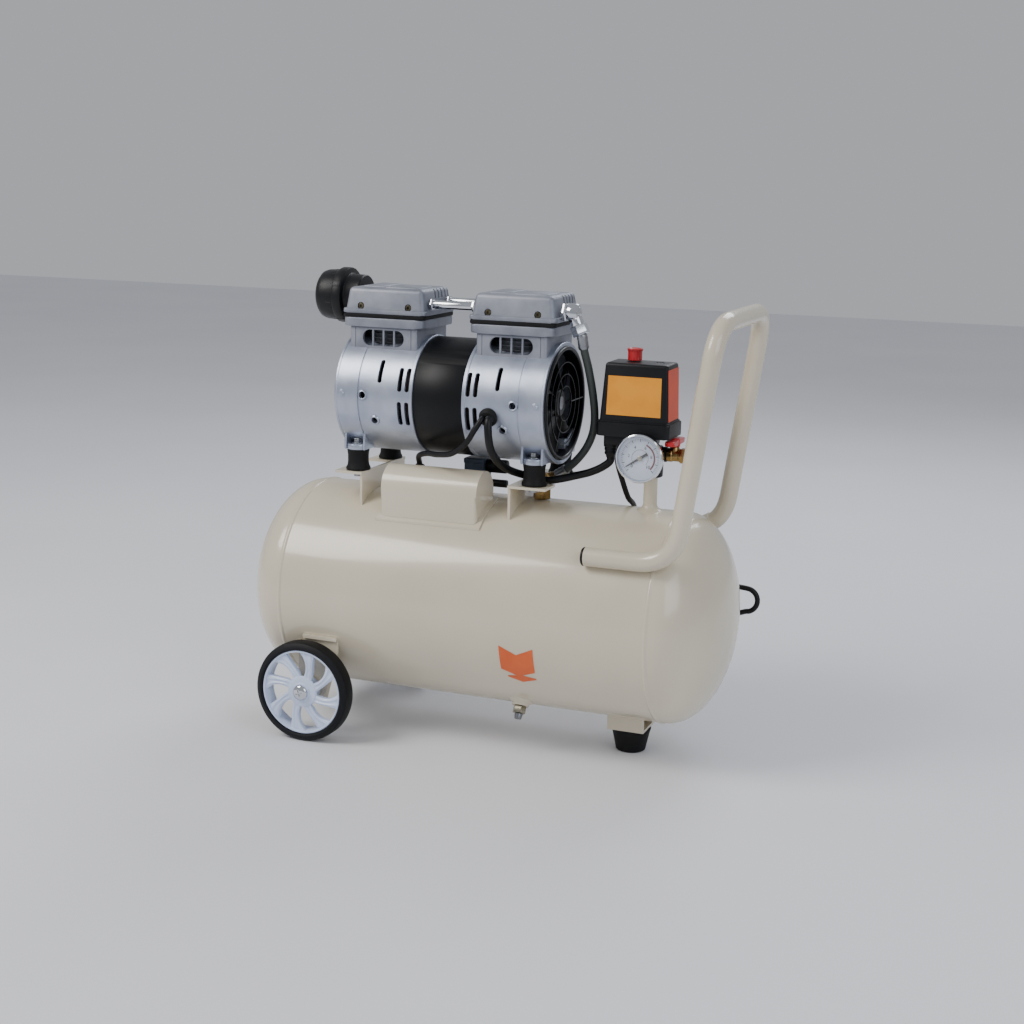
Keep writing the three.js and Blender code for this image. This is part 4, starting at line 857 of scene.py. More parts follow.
def housing_spider(side):
    """The wall inside the housing that carries the shaft, with four round ports."""
    near, far = SPIDER
    rim = INNER_HOUSING + 0.0003
    profile = [(near, SHAFT_HOLE), (near, rim), (far, rim), (far, 0.017), (SPIDER_BOSS, 0.015),
               (SPIDER_BOSS, SHAFT_HOLE), (near, SHAFT_HOLE)]
    place = housing_frame(side)
    ports = [moved(rod((0, 0, near - 0.006), (0, 0, SPIDER_BOSS + 0.003), SPIDER_PORT, segments=28),
                   place @ spin(i, 4, TAU / 8) @ Matrix.Translation((PORT_REACH, 0, 0)))
             for i in range(4)]
    return cut(turned(profile, place, 72), ports)


def housing(side):
    """One end of the motor: shell, spider, cylinder block and liner."""
    name = side_name(side)
    shape = joined(housing_shell(side), *rim_rings(side), *housing_lugs(side))
    # The spider is coloured near-black as painted shade behind the fan.
    piece(f"crankcase_{name}_spider", housing_spider(side), INNER_PAINTED_SHADE)
    piece(f"crankcase_{name}_shell", joined(shape, end_screws(side)), CAST)
    piece(f"cylinder_{name}_block", cylinder(side), RAW, replaces=[f"crankcase_{name}"])
    piece(f"cylinder_{name}_sleeve", sleeve(side), SLEEVE)


def end_screws(side):
    """Small cross-head screws that hold the end bell, on its raised bosses."""
    shapes = []
    for flip in FLIPS:
        out = radial(flip(END_SCREW_ANGLE))
        base = MOTOR + X * (side * END_SCREW_AT) + out * (HOUSING - 0.001)
        head = turned([(0, 0), (0, 0.0034), (0.0020, 0.0033), (0.0030, 0.0022), (0.0033, 0)],
                      aim(base, out), 24)
        shapes.append(head)
        shapes.append(rod(base - out * 0.001, base + out * 0.0014, 0.0048, 0.0044))
    return joined(*shapes)


def housing_lugs(side):
    """Cast feet that sit on the rubber mounts: a round pad with two webs up the housing."""
    web_side = [(0.030, 0.0005), (0.055, 0.0005), (0.0562, 0.004), (0.0540, 0.020), (0.0535, 0.031),
                (0.030, 0.020)]
    half, thick = 0.0125, 0.003
    shapes = []
    for sign, depth in ((-1, "front"), (1, "rear")):
        low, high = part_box(f"mount_{side_name(side)}_{depth}")
        x, y = (low.x + high.x) / 2, (low.y + high.y) / 2
        shapes.append(rod((x, y, high.z + 0.0003), (x, y, high.z + 0.0074), 0.0138, soft=0.0012))
        outline = [(sign * across, up) for across, up in web_side]
        for start in (x - half - thick / 2, x + half - thick / 2):
            shapes.append(prism(outline, Matrix.Translation((start, 0, high.z)) @ SIDEWAYS, thick, 0.0008))
        near, far = sorted((sign * 0.024, sign * 0.036))
        shapes.append(block((x - half, near, high.z + 0.0004), (x + half, far, high.z + 0.0200), 0.0012))
    return shapes


def cylinder(side):
    """The block under the head: hollow, windowed and nicked, with bars in its windows and a flange on top."""
    centre = MOTOR + X * (side * CYLINDER_U)
    low = Vector((centre.x - BLOCK_HALF.x, -BLOCK_HALF.y, MOTOR.z + 0.030))
    high = Vector((centre.x + BLOCK_HALF.x, BLOCK_HALF.y, SEAT + 0.001))
    wall = BLOCK_WALL
    hollow = block(low + Vector((wall, wall, -0.01)), high - Vector((wall, wall, 0.005)), 0.001, 1)
    body = cut(block(low, high, 0.0028), [hollow])
    tools = []
    for sign in (-1, 1):
        tools.append(window_tool(centre, sign))
        for x in (centre.x - 0.0365, centre.x + 0.0365):
            tools.append(block((x - 0.0006, sign * 0.0475, SEAT - 0.034),
                               (x + 0.0006, sign * 0.0433, SEAT + 0.002), 0.0003, 1))
    body = cut(body, tools + housing_spaces(side))
    bars = []
    for y in (-0.0425, 0.0425):
        for i in range(3):
            x = centre.x + (i - 1) * 0.0138
            bars.append(block((x - 0.0012, y - 0.0012, SEAT - 0.0235),
                              (x + 0.0012, y + 0.0012, SEAT - 0.0025), 0.0005, 1))
    plan = rounded_outline(FLANGE_HALF.x, FLANGE_HALF.y, 0.010)
    flange = prism(plan, Matrix.Translation((centre.x, 0, SEAT)), PLATE_Z - 0.0003 - SEAT, 0.0018, 3)
    return joined(body, flange, *bars)


def housing_spaces(side):
    """The round spaces inside the housing on both sides of its spider, which the block keeps out of."""
    place = housing_frame(side)
    return [moved(rod((0, 0, start), (0, 0, end), INNER_HOUSING, soft=0, segments=96), place)
            for start, end in ((STATOR_HALF - 0.002, SPIDER[0]), (SPIDER[1], HOUSING_END + 0.003))]


def sleeve(side):
    """The cylinder itself: a liner with cooling fins, seen through the block's windows."""
    place = aim((MOTOR.x + side * CYLINDER_U, 0, 0), Z)
    low, high = SEAT - 0.040, SEAT + 0.001
    liner = turned([(low, LINER_INNER), (low, LINER_OUTER), (high, LINER_OUTER), (high, LINER_INNER),
                    (low, LINER_INNER)], place, 72)
    root = LINER_OUTER - 0.0003
    fins = []
    for i in range(6):
        base = SEAT - 0.034 + 0.005 * i
        top = base + 0.0012
        ring = [(base, root), (base, FIN_RADIUS), (top, FIN_RADIUS), (top, root), (base, root)]
        fins.append(turned(ring, place, 72))
    return joined(liner, *fins)


def window_tool(centre, sign):
    """A long opening with round ends through the block's front or rear wall."""
    start = -0.036 if sign < 0 else 0.052
    place = Matrix.Translation((centre.x, start, SEAT - 0.0130)) @ UPRIGHT
    outline = rounded_outline(0.0270, 0.0095, 0.0092, 8)
    return prism(outline, place, 0.016, 0)


def motor_core():
    """The stator, its windings and the shaft with rotor core and eccentric lobes."""
    place = housing_frame(1)
    half = STATOR_HALF - 0.0004
    profile = [(-half, 0.034), (-half, 0.0698), (-half + 0.0008, 0.0703), (half - 0.0008, 0.0703),
               (half, 0.0698), (half, 0.034), (-half, 0.034)]
    piece("stator_stack", turned(profile, place, 144), LAMINATION, replaces=["stator"])
    for side in (-1, 1):
        coil = [(half, 0.038), (half, 0.063), (half + 0.010, 0.0620), (half + 0.0155, 0.0570),
                (half + 0.0165, 0.0500), (half + 0.0155, 0.0430), (half + 0.010, 0.0385), (half, 0.038)]
        piece(f"winding_{side_name(side)}", turned(coil, housing_frame(side), 96), COPPER)
    shaft = rod(MOTOR - X * SHAFT_END, MOTOR + X * SHAFT_END, SHAFT_RADIUS)
    core = turned([(-0.028, 0), (-0.028, 0.0325), (-0.0275, 0.033), (0.0275, 0.033), (0.028, 0.0325),
                   (0.028, 0)], place, 72)
    lobes = []
    for u in (-CYLINDER_U, CYLINDER_U):
        centre = MOTOR + Z * ECCENTRIC
        lobes.append(rod(centre + X * (u - 0.006), centre + X * (u + 0.006), 0.0100))
    piece("motor_rotor", joined(shaft, core, *lobes), STEEL, body="motor_shaft",
          replaces=["rotor"])


def fan(side):
    """The bladed fan on the shaft, and the fixed ring with its guard round it."""
    name = side_name(side)
    place = housing_frame(side)
    hub = [(0.113, 0.0083), (0.113, 0.0165), (0.127, 0.0165), (0.1292, 0.0150), (0.1299, 0.0125),
           (0.1299, 0.0083), (0.113, 0.0083)]
    shapes = [turned(hub, place, 64)]
    shapes += [moved(fan_blade(), place @ spin(i, BLADES)) for i in range(BLADES)]
    piece(f"fan_{name}_blades", joined(*shapes), FAN_PLASTIC, body="motor_shaft",
          replaces=[f"fan_{name}"])
    r = HOUSING
    ring = [(0.118, 0.0640), (0.118, r - 0.0044), (0.1348, r - 0.0044), (0.1357, r - 0.0050),
            (0.1360, r - 0.0060), (0.1356, 0.0632), (0.1345, 0.0626), (0.118, 0.0640)]
    shapes = [turned(ring, place, 144)]
    for inner in GUARD_RINGS:
        outer = inner + 0.0009
        guard = [(0.1338, inner), (0.1350, inner), (0.1350, outer), (0.1338, outer), (0.1338, inner)]
        shapes.append(turned(guard, place, 72))
    for i in range(GUARD_ARMS):
        arm = block((GUARD_RINGS[0], -0.0008, 0.1336), (0.0640, 0.0008, 0.1350), 0.0004, 1)
        shapes.append(moved(arm, place @ spin(i + 0.25, GUARD_ARMS)))
    piece(f"fan_ring_{name}_guard", joined(*shapes), FAN_PLASTIC,
          replaces=[f"fan_ring_{name}"])


def fan_blade():
    """A thin blade that twists and sweeps back from the hub to the tip."""
    shape = bmesh.new()
    rows = []
    steps, columns, thick = 10, 6, 0.0006
    for i in range(steps + 1):
        share = i / steps
        radius = BLADE_ROOT + (BLADE_TIP - BLADE_ROOT) * share
        pitch = math.radians(58 - 26 * share)
        sweep_back = math.radians(16) * share ** 1.4
        chord = 0.0125 + 0.0060 * share
        row = []
        for k in range(columns + 1):
            across = (k / columns - 0.5) * chord
            hollow = 0.0014 * (1 - (2 * k / columns - 1) ** 2)
            angle = sweep_back + across * math.cos(pitch) / radius
            along = BLADE_PLANE + max(min(across * math.sin(pitch) + hollow, 0.0065), -0.0070)
            row.append((radius * math.cos(angle), radius * math.sin(angle), along))
        rows.append(row)
    faces = [[[shape.verts.new(Vector(p) + Z * s) for p in row] for row in rows] for s in (-thick, thick)]
    for grid, turn in zip(faces, (-1, 1)):
        for a, b in zip(grid, grid[1:]):
            for k in range(columns):
                shape.faces.new((a[k], a[k + 1], b[k + 1], b[k])[::turn])
    low, high = faces
    border = [(i, 0) for i in range(steps + 1)]
    border += [(steps, k) for k in range(1, columns + 1)]
    border += [(i, columns) for i in range(steps - 1, -1, -1)]
    border += [(0, k) for k in range(columns - 1, 0, -1)]
    for (i, k), (m, n) in zip(border, border[1:] + border[:1]):
        shape.faces.new((low[i][k], low[m][n], high[m][n], high[i][k]))
    bmesh.ops.recalc_face_normals(shape, faces=shape.faces)
    return shape


# ---------- heads ----------
def head(name):
    """A head's casting with its screws, and the gasket under it that stands for the valve plate."""
    low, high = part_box(f"head_{name}")
    centre = (low + high) / 2
    half = (high - low) / 2
    lip = prism(rounded_outline(half.x, half.y, 0.006), Matrix.Translation((centre.x, 0, low.z)), 0.0052,
                0.0014, 3)
    body = drafted(centre.x, half.x - 0.0028, half.y - 0.0028, low.z + 0.0045, high.z - 0.0012)
    z = low.z + HEAD_SCREW_Z
    corners = [(centre.x + dx, sign) for sign in (-1, 1) for dx in (-HEAD_SCREW_X, HEAD_SCREW_X)]
    tools = [rod((x, sign * (half.y + 0.004), z), (x, sign * (half.y - 0.0075), z), 0.0044, soft=0.0001,
                 segments=24) for x, sign in corners]
    for i in range(5):
        y = -0.0035 + 0.0095 * i
        tools.append(block((centre.x + half.x - 0.0085, y - 0.0016, low.z + 0.0185),
                           (centre.x + half.x + 0.004, y + 0.0016, high.z + 0.004), 0.0008, 2))
    casting = joined(lip, cut(body, tools), *head_pads(centre.x, high.z))
    piece(f"head_{name}_casting", casting, RAW, replaces=[f"head_{name}"])
    screws = [cap_screw((x, sign * (half.y - 0.0077), z), Y * sign, 0.0034, 0.0042) for x, sign in corners]
    piece(f"head_{name}_screws", joined(*screws), SCREW)
    plate_low, plate_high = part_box(f"valve_plate_{name}")
    plate_half = (plate_high - plate_low) / 2
    plan = rounded_outline(plate_half.x + 0.0006, plate_half.y, 0.007)
    gasket = prism(plan, Matrix.Translation((centre.x, 0, plate_low.z - 0.0001)),
                   plate_high.z - plate_low.z, 0.0009)
    piece(f"valve_plate_{name}_gasket", gasket, RUBBER, replaces=[f"valve_plate_{name}"])


def head_pads(x, top):
    """Raised pads on the roof of the head."""
    return [block((x + dx - half_x, y - half_y, top - 0.004), (x + dx + half_x, y + half_y, top), 0.0016)
            for dx, y, half_x, half_y in ((0.018, -0.010, 0.022, 0.020), (-0.024, 0.006, 0.014, 0.026))]


def drafted(x, half_x, half_y, low, high):
    """A box whose sides lean in towards the top, with large soft top edges."""
    shape = bmesh.new()
    bmesh.ops.create_cube(shape, size=2.0)
    for v in shape.verts:
        lean = 0.0035 if v.co.z > 0 else 0.0
        v.co = Vector((x + v.co.x * (half_x - lean), v.co.y * (half_y - lean), high if v.co.z > 0 else low))
    top = [e for e in shape.edges if all(v.co.z > (low + high) / 2 for v in e.verts)]
    upright = [e for e in shape.edges if abs(e.verts[0].co.z - e.verts[1].co.z) > (high - low) / 2]
    bmesh.ops.bevel(shape, geom=top + upright, offset=0.0052, segments=5, profile=0.5, affect="EDGES")
    return shape


def cap_screw(point, direction, radius, length):
    """A socket-head screw: a short drum with a six-sided hole in its end."""
    place = aim(point, direction)
    drum = turned([(0, 0), (0, radius), (length - 0.0004, radius), (length, radius - 0.0005), (length, 0)],
                  place, 28)
    socket = prism(regular(6, radius * 0.55), place @ Matrix.Translation((0, 0, length - 0.0022)), 0.004, 0)
    return cut(drum, [socket])


# ---------- air path ----------
def transfer_tubes():
    """The two bright tubes between the heads, with a nut at each end."""
    for name in ("front", "rear"):
        low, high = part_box(f"transfer_tube_{name}")
        centre = (low + high) / 2
        tube = rod((low.x, centre.y, centre.z), (high.x, centre.y, centre.z), 0.005, segments=56)
        nuts = [prism(regular(6, 0.0068), aim((x, centre.y, centre.z), X), 0.0045, 0.0006)
                for x in (low.x + 0.0002, high.x - 0.0047)]
        piece(f"transfer_tube_{name}_bright", joined(tube, *nuts), CHROME,
              replaces=[f"transfer_tube_{name}"])


def air_filter():
    """The intake filter: a stepped flange with lugs, and a drum with fine vanes round its rim."""
    low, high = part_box("filter_base")
    centre = (low + high) / 2
    place = aim((high.x, centre.y, centre.z), -X)
    r = (high.z - low.z) / 2
    neck = [(0, 0.0120), (0, 0.0246), (0.0014, 0.0257), (0.0170, 0.0260), (0.0194, 0.0274),
            (0.0200, r - 0.0030), (0.0206, r - 0.0008), (0.0222, r), (0.0305, r), (0.0322, r - 0.0008),
            (0.0330, r - 0.0022), (0.0330, 0.0120), (0, 0.0120)]
    lugs = [moved(block((r - 0.0030, -0.0045, 0.0212), (r + 0.0002, 0.0045, 0.0322), 0.0010, 2),
                  place @ spin(i, 4, 0.5)) for i in range(4)]
    piece("filter_flange", joined(turned(neck, place, 96), *lugs), PLASTIC,
          replaces=["filter_base"])
    cap_low, cap_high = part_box("filter_cap")
    cap_place = aim((cap_high.x, centre.y, centre.z), -X)
    drum = (cap_high.z - cap_low.z) / 2
    length = cap_high.x - cap_low.x
    cup = [(0, 0), (0, drum - 0.0004), (0.0050, drum), (length - 0.0095, drum - 0.0006),
           (length - 0.0045, drum - 0.0022), (length - 0.0014, drum - 0.0058),
           (length - 0.0002, drum - 0.0105), (length, drum - 0.0140), (length - 0.0012, 0.0150),
           (length - 0.0012, 0)]
    vanes = [moved(block((drum - 0.0030, -0.0007, 0.0020), (drum + 0.0001, 0.0007, 0.0080), 0.0003, 1),
                   cap_place @ spin(i, 24)) for i in range(24)]
    piece("filter_drum", joined(turned(cup, cap_place, 96), *vanes), PLASTIC,
          replaces=["filter_cap"])


def outlet():
    """The bright elbow on the right head, and the hose that it feeds, crimped at both ends."""
    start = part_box("outlet_elbow")[0].x
    centre = Vector((start, OUTLET_Y, OUTLET_Z))
    stub = rod(centre, centre + X * 0.007, 0.0062)
    washer = prism(regular(6, 0.0112), aim(centre + X * 0.0014, X), 0.0052, 0.0008)
    body = rod(centre + X * 0.006, centre + X * 0.0205, 0.0104, soft=0.0030)
    leg_start = centre + X * 0.0125
    arc = [TAU / 2 * i / 12 for i in range(13)]
    ball = turned([(-0.0104 * math.cos(a), 0.0106 * math.sin(a)) for a in arc], aim(leg_start, Z), 36)
    leg_end = Vector(HOSE_POINTS[0]) + Vector((-0.0004, 0, 0.0019))
    along = (leg_end - leg_start).normalized()
    neck = rod(leg_start, leg_end - along * 0.010, 0.0080)
    nut = prism(regular(6, 0.0104), aim(leg_end - along * 0.0120, along), 0.0122, 0.0010)
    shapes = [stub, washer, body, ball, neck, nut]
    piece("outlet_elbow_bright", joined(*shapes), CHROME, replaces=["outlet_elbow"])
    path = smooth_path(HOSE_POINTS, 8)
    piece("outlet_hose", sweep(path, HOSE_RADIUS, 24), HOSE, replaces=["hose"])
    crimps = [sweep(stretch, lambda share: 0.0062 - 0.0003 * math.cos(share * TAU * 3), 28)
              for stretch in ([leg_end - along * 0.0005] + path[1:8], path[-7:])]
    piece("hose_crimps", joined(*crimps), STEEL)


def check_valve():
    """The brass valve on the tank's top: a hexagon, a cap, and the inlet with the hose's nut."""
    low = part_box("check_valve")[0]
    x, y = low.x + 0.0110, low.y + 0.0110
    base = TANK_TOP
    hexagon = prism(regular(6, 0.0109), aim((x, y, base + 0.0012), Z), 0.0225, 0.0010)
    cap = turned([(0.0230, 0), (0.0230, 0.0084), (0.0300, 0.0078), (0.0326, 0.0062), (0.0330, 0)],
                 aim((x, y, base), Z), 48)
    tip = Vector(HOSE_POINTS[-1]) + Vector((-0.0017, -0.0001, -0.0009))
    root = Vector((x, y, 0.316))
    inlet = rod(root, tip, 0.0060)
    nut = prism(regular(6, 0.0080), aim(root.lerp(tip, 0.45), tip - root), 0.0075, 0.0008)
    piece("check_valve_brass", joined(hexagon, cap, inlet, nut), BRASS,
          replaces=["check_valve"])


def unloader():
    """The small box beside the capacitor cover, with its coil and fitting."""
    low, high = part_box("unloader_valve")
    body = block((low.x, low.y, low.z), (low.x + 0.026, high.y, high.z), 0.0020)
    lid = block((low.x - 0.0004, low.y - 0.0004, high.z - 0.0060),
                (low.x + 0.0264, high.y + 0.0004, high.z + 0.0002), 0.0012)
    piece("relay_box", joined(body, lid), RELAY, replaces=["unloader_valve"])
    centre_y = (low.y + high.y) / 2
    start = low.x + 0.0255
    coil = rod((start, centre_y, COIL_Z), (high.x, centre_y, COIL_Z), 0.0084, soft=0.0015)
    port = rod((start, centre_y, FITTING_Z), (high.x, centre_y, FITTING_Z), 0.0048, soft=0.0010)
    piece("relay_coil", joined(coil, port), PLASTIC)


# ---------- pressure switch ----------
def switch_hood(centre, half, low, high):
    """The tapered hood: its sides lean in towards the top, and its upper edges are rounded."""
    shape = bmesh.new()
    bmesh.ops.create_cube(shape, size=2.0)
    for v in shape.verts:
        top = v.co.z > 0
        lean = HOOD_LEAN if top else Vector((0, 0))
        shift = HOOD_SHIFT if top else 0
        v.co = Vector((centre.x + shift + v.co.x * (half.x - lean.x), v.co.y * (half.y - lean.y),
                       high.z - 0.0002 if top else low.z))
    edges = [e for e in shape.edges if any(v.co.z > centre.z for v in e.verts)]
    bmesh.ops.bevel(shape, geom=edges, offset=0.0036, segments=5, profile=0.5, affect="EDGES")
    return shape


def pressure_switch():
    """The hood with its screw and labels, on a base with a band, a ledge, a casting and two glands."""
    low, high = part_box("switch_cover")
    base_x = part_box("switch_base")[0].x
    centre, half = (low + high) / 2, (high - low) / 2
    x, y = centre.x + HOOD_SCREW.x, HOOD_SCREW.y
    screw_seat = rod((x, y, high.z - 0.0020), (x, y, high.z + 0.004), 0.0050, soft=0.0001)
    hood = cut(switch_hood(centre, half, low, high), [screw_seat])
    piece("switch_hood", hood, PLASTIC, replaces=["switch_cover"])
    screw = cap_screw((x, y, high.z - 0.0021), Z, 0.0034, 0.0016)
    piece("switch_hood_screw", screw, STEEL)
    band = prism(rounded_outline(half.x + 0.0029, half.y + 0.0029, 0.005),
                 Matrix.Translation((centre.x, 0, 0.3832)), 0.0163, 0.0016, 3)
    ledge = prism(rounded_outline(half.x + 0.0012, half.y + 0.0012, 0.004),
                  Matrix.Translation((centre.x, 0, 0.3990)), 0.0022, 0.0006)
    casting = block((base_x + 0.0070, -0.0188, 0.3712), (base_x + 0.0645, 0.0198, 0.3845), 0.0022)
    glands = [gland(*spot) for spot in GLANDS]
    piece("switch_base_body", joined(band, ledge, casting, *glands), PLASTIC,
          replaces=["switch_base"])
    labels(centre, half, low, high)


def gland(x, y):
    """A ribbed cable gland that tapers down to the cable."""
    profile = [(0.3725, 0), (0.3725, 0.0082), (0.3690, 0.0082), (0.3680, 0.0073), (0.3645, 0.0073),
               (0.3640, 0.0066), (0.3622, 0.0066), (0.3617, 0.0072), (0.3600, 0.0070), (0.3584, 0.0056),
               (0.3560, 0.0050), (0.3560, 0)]
    return turned(profile, aim((x, y, 0), Z), 36)


def labels(centre, half, low, high):
    """Plain coloured labels: an orange one on the front, a red one on the end, with no writing."""
    tall = high.z - low.z
    lean_x, lean_y = (HOOD_LEAN.x - HOOD_SHIFT) / tall, HOOD_LEAN.y / tall
    left, right = centre.x - 0.0325, centre.x + 0.0325
    bottom, top = low.z + 0.0080, low.z + 0.0530
    corners = [(left, bottom), (right, bottom), (right - 0.0004, top), (left + 0.0010, top)]
    spots = [Vector((x, -half.y + lean_y * (z - low.z) - LABEL_THICK, z)) for x, z in corners]
    piece("switch_label", sheet(spots, LABEL_THICK, Y), ORANGE)
    near, far = -half.y + 0.0040, half.y - 0.0050
    bottom, top = low.z + 0.0030, high.z - 0.0058
    corners = [(near, bottom), (far, bottom), (far, top), (near, top)]
    spots = [Vector((centre.x + half.x - lean_x * (z - low.z) + LABEL_THICK, y, z)) for y, z in corners]
    piece("switch_end_label", sheet(spots, LABEL_THICK, -X), RED_LABEL)


def sheet(corners, thick, inward):
    """A thin label: four corners with a small thickness behind them."""
    shape = bmesh.new()
    front = [shape.verts.new(p) for p in corners]
    back = [shape.verts.new(p + inward * thick) for p in corners]
    shape.faces.new(front)
    shape.faces.new(back[::-1])
    for i in range(4):
        j = (i + 1) % 4
        shape.faces.new((front[j], front[i], back[i], back[j]))
    bmesh.ops.recalc_face_normals(shape, faces=shape.faces)
    return shape


def switch_knob():
    """The red pull knob, waisted and grooved."""
    low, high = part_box("switch_button")
    centre = (low + high) / 2
    base = high.z - 0.0140
    profile = [(0, 0), (0, 0.0078), (0.0006, 0.0083), (0.0092, 0.0083), (0.0108, 0.0086), (0.0120, 0.0092),
               (0.0132, 0.0092), (0.0139, 0.0087), (0.0140, 0.0068), (0.0134, 0.0060), (0.0134, 0)]
    place = aim((centre.x, centre.y, base), Z)
    grooves = [moved(rod((0.0094, 0, 0.0020), (0.0094, 0, 0.0125), 0.0013, soft=0.0002, segments=12),
                     place @ spin(i, 16)) for i in range(16)]
    piece("pressure_knob", cut(turned(profile, place, 96), grooves), RED,
          body="pressure_button", replaces=["switch_button"])


# ---------- manifold, gauge and valve ----------
def manifold():
    """The black fitting on the riser, with a branch to the gauge and one to the valve."""
    low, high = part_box("manifold")
    x, z = low.x + 0.0140, PORT_Z
    trunk = turned([(low.z, 0.005), (low.z, 0.0122), (low.z + 0.0010, 0.0136), (low.z + 0.006, 0.0139),
                    (high.z - 0.0080, 0.0139), (high.z - 0.0060, 0.0132), (high.z - 0.0002, 0.0130),
                    (high.z - 0.0002, 0.005), (low.z, 0.005)], aim((x, 0, 0), Z), 72)
    nut = prism(regular(6, 0.0139), aim((x, 0, low.z + 0.0008), Z), 0.0085, 0.0012)
    to_gauge = rod((x, 0, z), (x, low.y + 0.0004, z), 0.0078)
    gauge_nut = prism(regular(6, 0.0095), aim((x, -0.0150, z), -Y), 0.0100, 0.0010)
    to_valve = rod((x, 0, z), (high.x, 0, z), 0.0088)
    piece("manifold_body", joined(trunk, nut, to_gauge, gauge_nut, to_valve), PLASTIC,
          replaces=["manifold"])


def gauge():
    """The bezel, the dial with its marks and numbers, the window and the needle."""
    low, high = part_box("gauge_case")
    centre = (low + high) / 2
    r = (high.z - low.z) / 2
    place = aim((centre.x, 0, centre.z), -Y)
    back, front = -high.y, -low.y
    case = [(back, 0), (back, r - 0.0040), (back + 0.0010, r - 0.0025), (front - 0.0040, r - 0.0016),
            (front - 0.0036, r - 0.0004), (front - 0.0022, r), (front - 0.0008, r - 0.0003),
            (front, r - 0.0014), (front, r - 0.0026), (front - 0.0012, r - 0.0030),
            (front - 0.0060, r - 0.0030), (front - 0.0060, 0)]
    piece("gauge_bezel", turned(case, place, 128), CHROME, replaces=["gauge_case"])
    dial_at = front - 0.0059
    disc = turned([(dial_at - 0.0004, 0), (dial_at - 0.0004, r - 0.0031), (dial_at, r - 0.0031),
                   (dial_at, 0)], place, 96)
    piece("gauge_dial", disc, WHITE)
    face = Matrix.Translation((centre.x, -dial_at, centre.z))
    ticks = [dial_tick(face, i) for i in range(TICKS + 1)]
    piece("gauge_ticks", joined(*ticks, dial_arc(face, 0.0098, 0.0004, GAUGE_START, GAUGE_STOP)), INK)
    arc = dial_arc(face, 0.0172, 0.0020, RED_START, GAUGE_STOP)
    piece("gauge_red_arc", arc, DARK_RED)
    figures(face)
    lens_low, lens_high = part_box("gauge_lens")
    lens = turned([(-lens_high.y, 0), (-lens_high.y, r - 0.0035), (-lens_low.y - 0.0008, r - 0.0035),
                   (-lens_low.y - 0.0002, r * 0.5), (-lens_low.y, 0)], place, 96)
    piece("gauge_window", lens, GLASS, replaces=["gauge_lens"])
    needle(centre)


def dial_point(face, radius, angle, lift):
    """A point just off the dial, turned anticlockwise from the right-hand side."""
    return face @ Vector((radius * math.cos(angle), -lift, radius * math.sin(angle)))


def dial_tick(face, index):
    """One mark of the scale, longer and wider at every fifth place."""
    angle = GAUGE_START + (GAUGE_STOP - GAUGE_START) * index / TICKS
    inner, half = (0.0190, 0.00036) if index % 5 == 0 else (0.0208, 0.00018)
    outer = 0.0226
    shape = bmesh.new()
    spots = []
    for radius, s in ((inner, -1), (outer, -1), (outer, 1), (inner, 1)):
        spots.append(dial_point(face, radius, angle + s * half / radius, 0.00012))
    shape.faces.new([shape.verts.new(p) for p in spots])
    return shape


def dial_arc(face, radius, width, start, stop, steps=60):
    """A flat curved band on the dial."""
    shape = bmesh.new()
    rows = []
    for i in range(steps + 1):
        angle = start + (stop - start) * i / steps
        spots = [dial_point(face, radius + d, angle, 0.0001) for d in (-width / 2, width / 2)]
        rows.append([shape.verts.new(p) for p in spots])
    for a, b in zip(rows, rows[1:]):
        shape.faces.new((a[0], a[1], b[1], b[0]))
    return shape


def figures(face):
    """The dial's plain numbers."""
    for index, text in enumerate(("0", "2", "4", "6", "8", "10")):
        angle = GAUGE_START + (GAUGE_STOP - GAUGE_START) * index / 5
        data = bpy.data.curves.new(f"figure_{index}", "FONT")
        data.body = text
        data.size = 0.0052
        data.align_x, data.align_y = "CENTER", "CENTER"
        data.materials.append(INK)
        made = bpy.data.objects.new(f"gauge_figure_{index}", data)
        bpy.context.collection.objects.link(made)
        made.location = dial_point(face, 0.0136, angle, 0.00025)
        made.rotation_euler = (TAU / 4, 0, 0)
        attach(made, "chassis")


def needle(centre):
    """The pointer with its counterweight, and the boss over the hub."""
    low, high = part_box("gauge_needle")
    depth = (low.y + high.y) / 2
    hub = Vector((centre.x, depth, centre.z))
    place = Matrix.Translation(hub) @ Matrix.Rotation(-NEEDLE_REST, 4, "Y")
    outline = [(-0.0105, -0.0018), (-0.0020, -0.0014), (0.0060, -0.0012), (0.0195, -0.0005), (0.0202, 0.0),
               (0.0195, 0.0005), (0.0060, 0.0012), (-0.0020, 0.0014), (-0.0105, 0.0018)]
    pointer = prism(outline, place @ UPRIGHT @ Matrix.Translation((0, 0, -0.0002)), 0.0004, 0)
    piece("gauge_pointer", pointer, INK, body="needle", replaces=["gauge_needle"])
    boss = turned([(-0.0006, 0), (-0.0006, 0.0029), (0.0006, 0.0028), (0.0011, 0.0018), (0.0012, 0)],
                  aim(hub, -Y), 32)
    piece("gauge_boss", boss, NICKEL, body="needle")


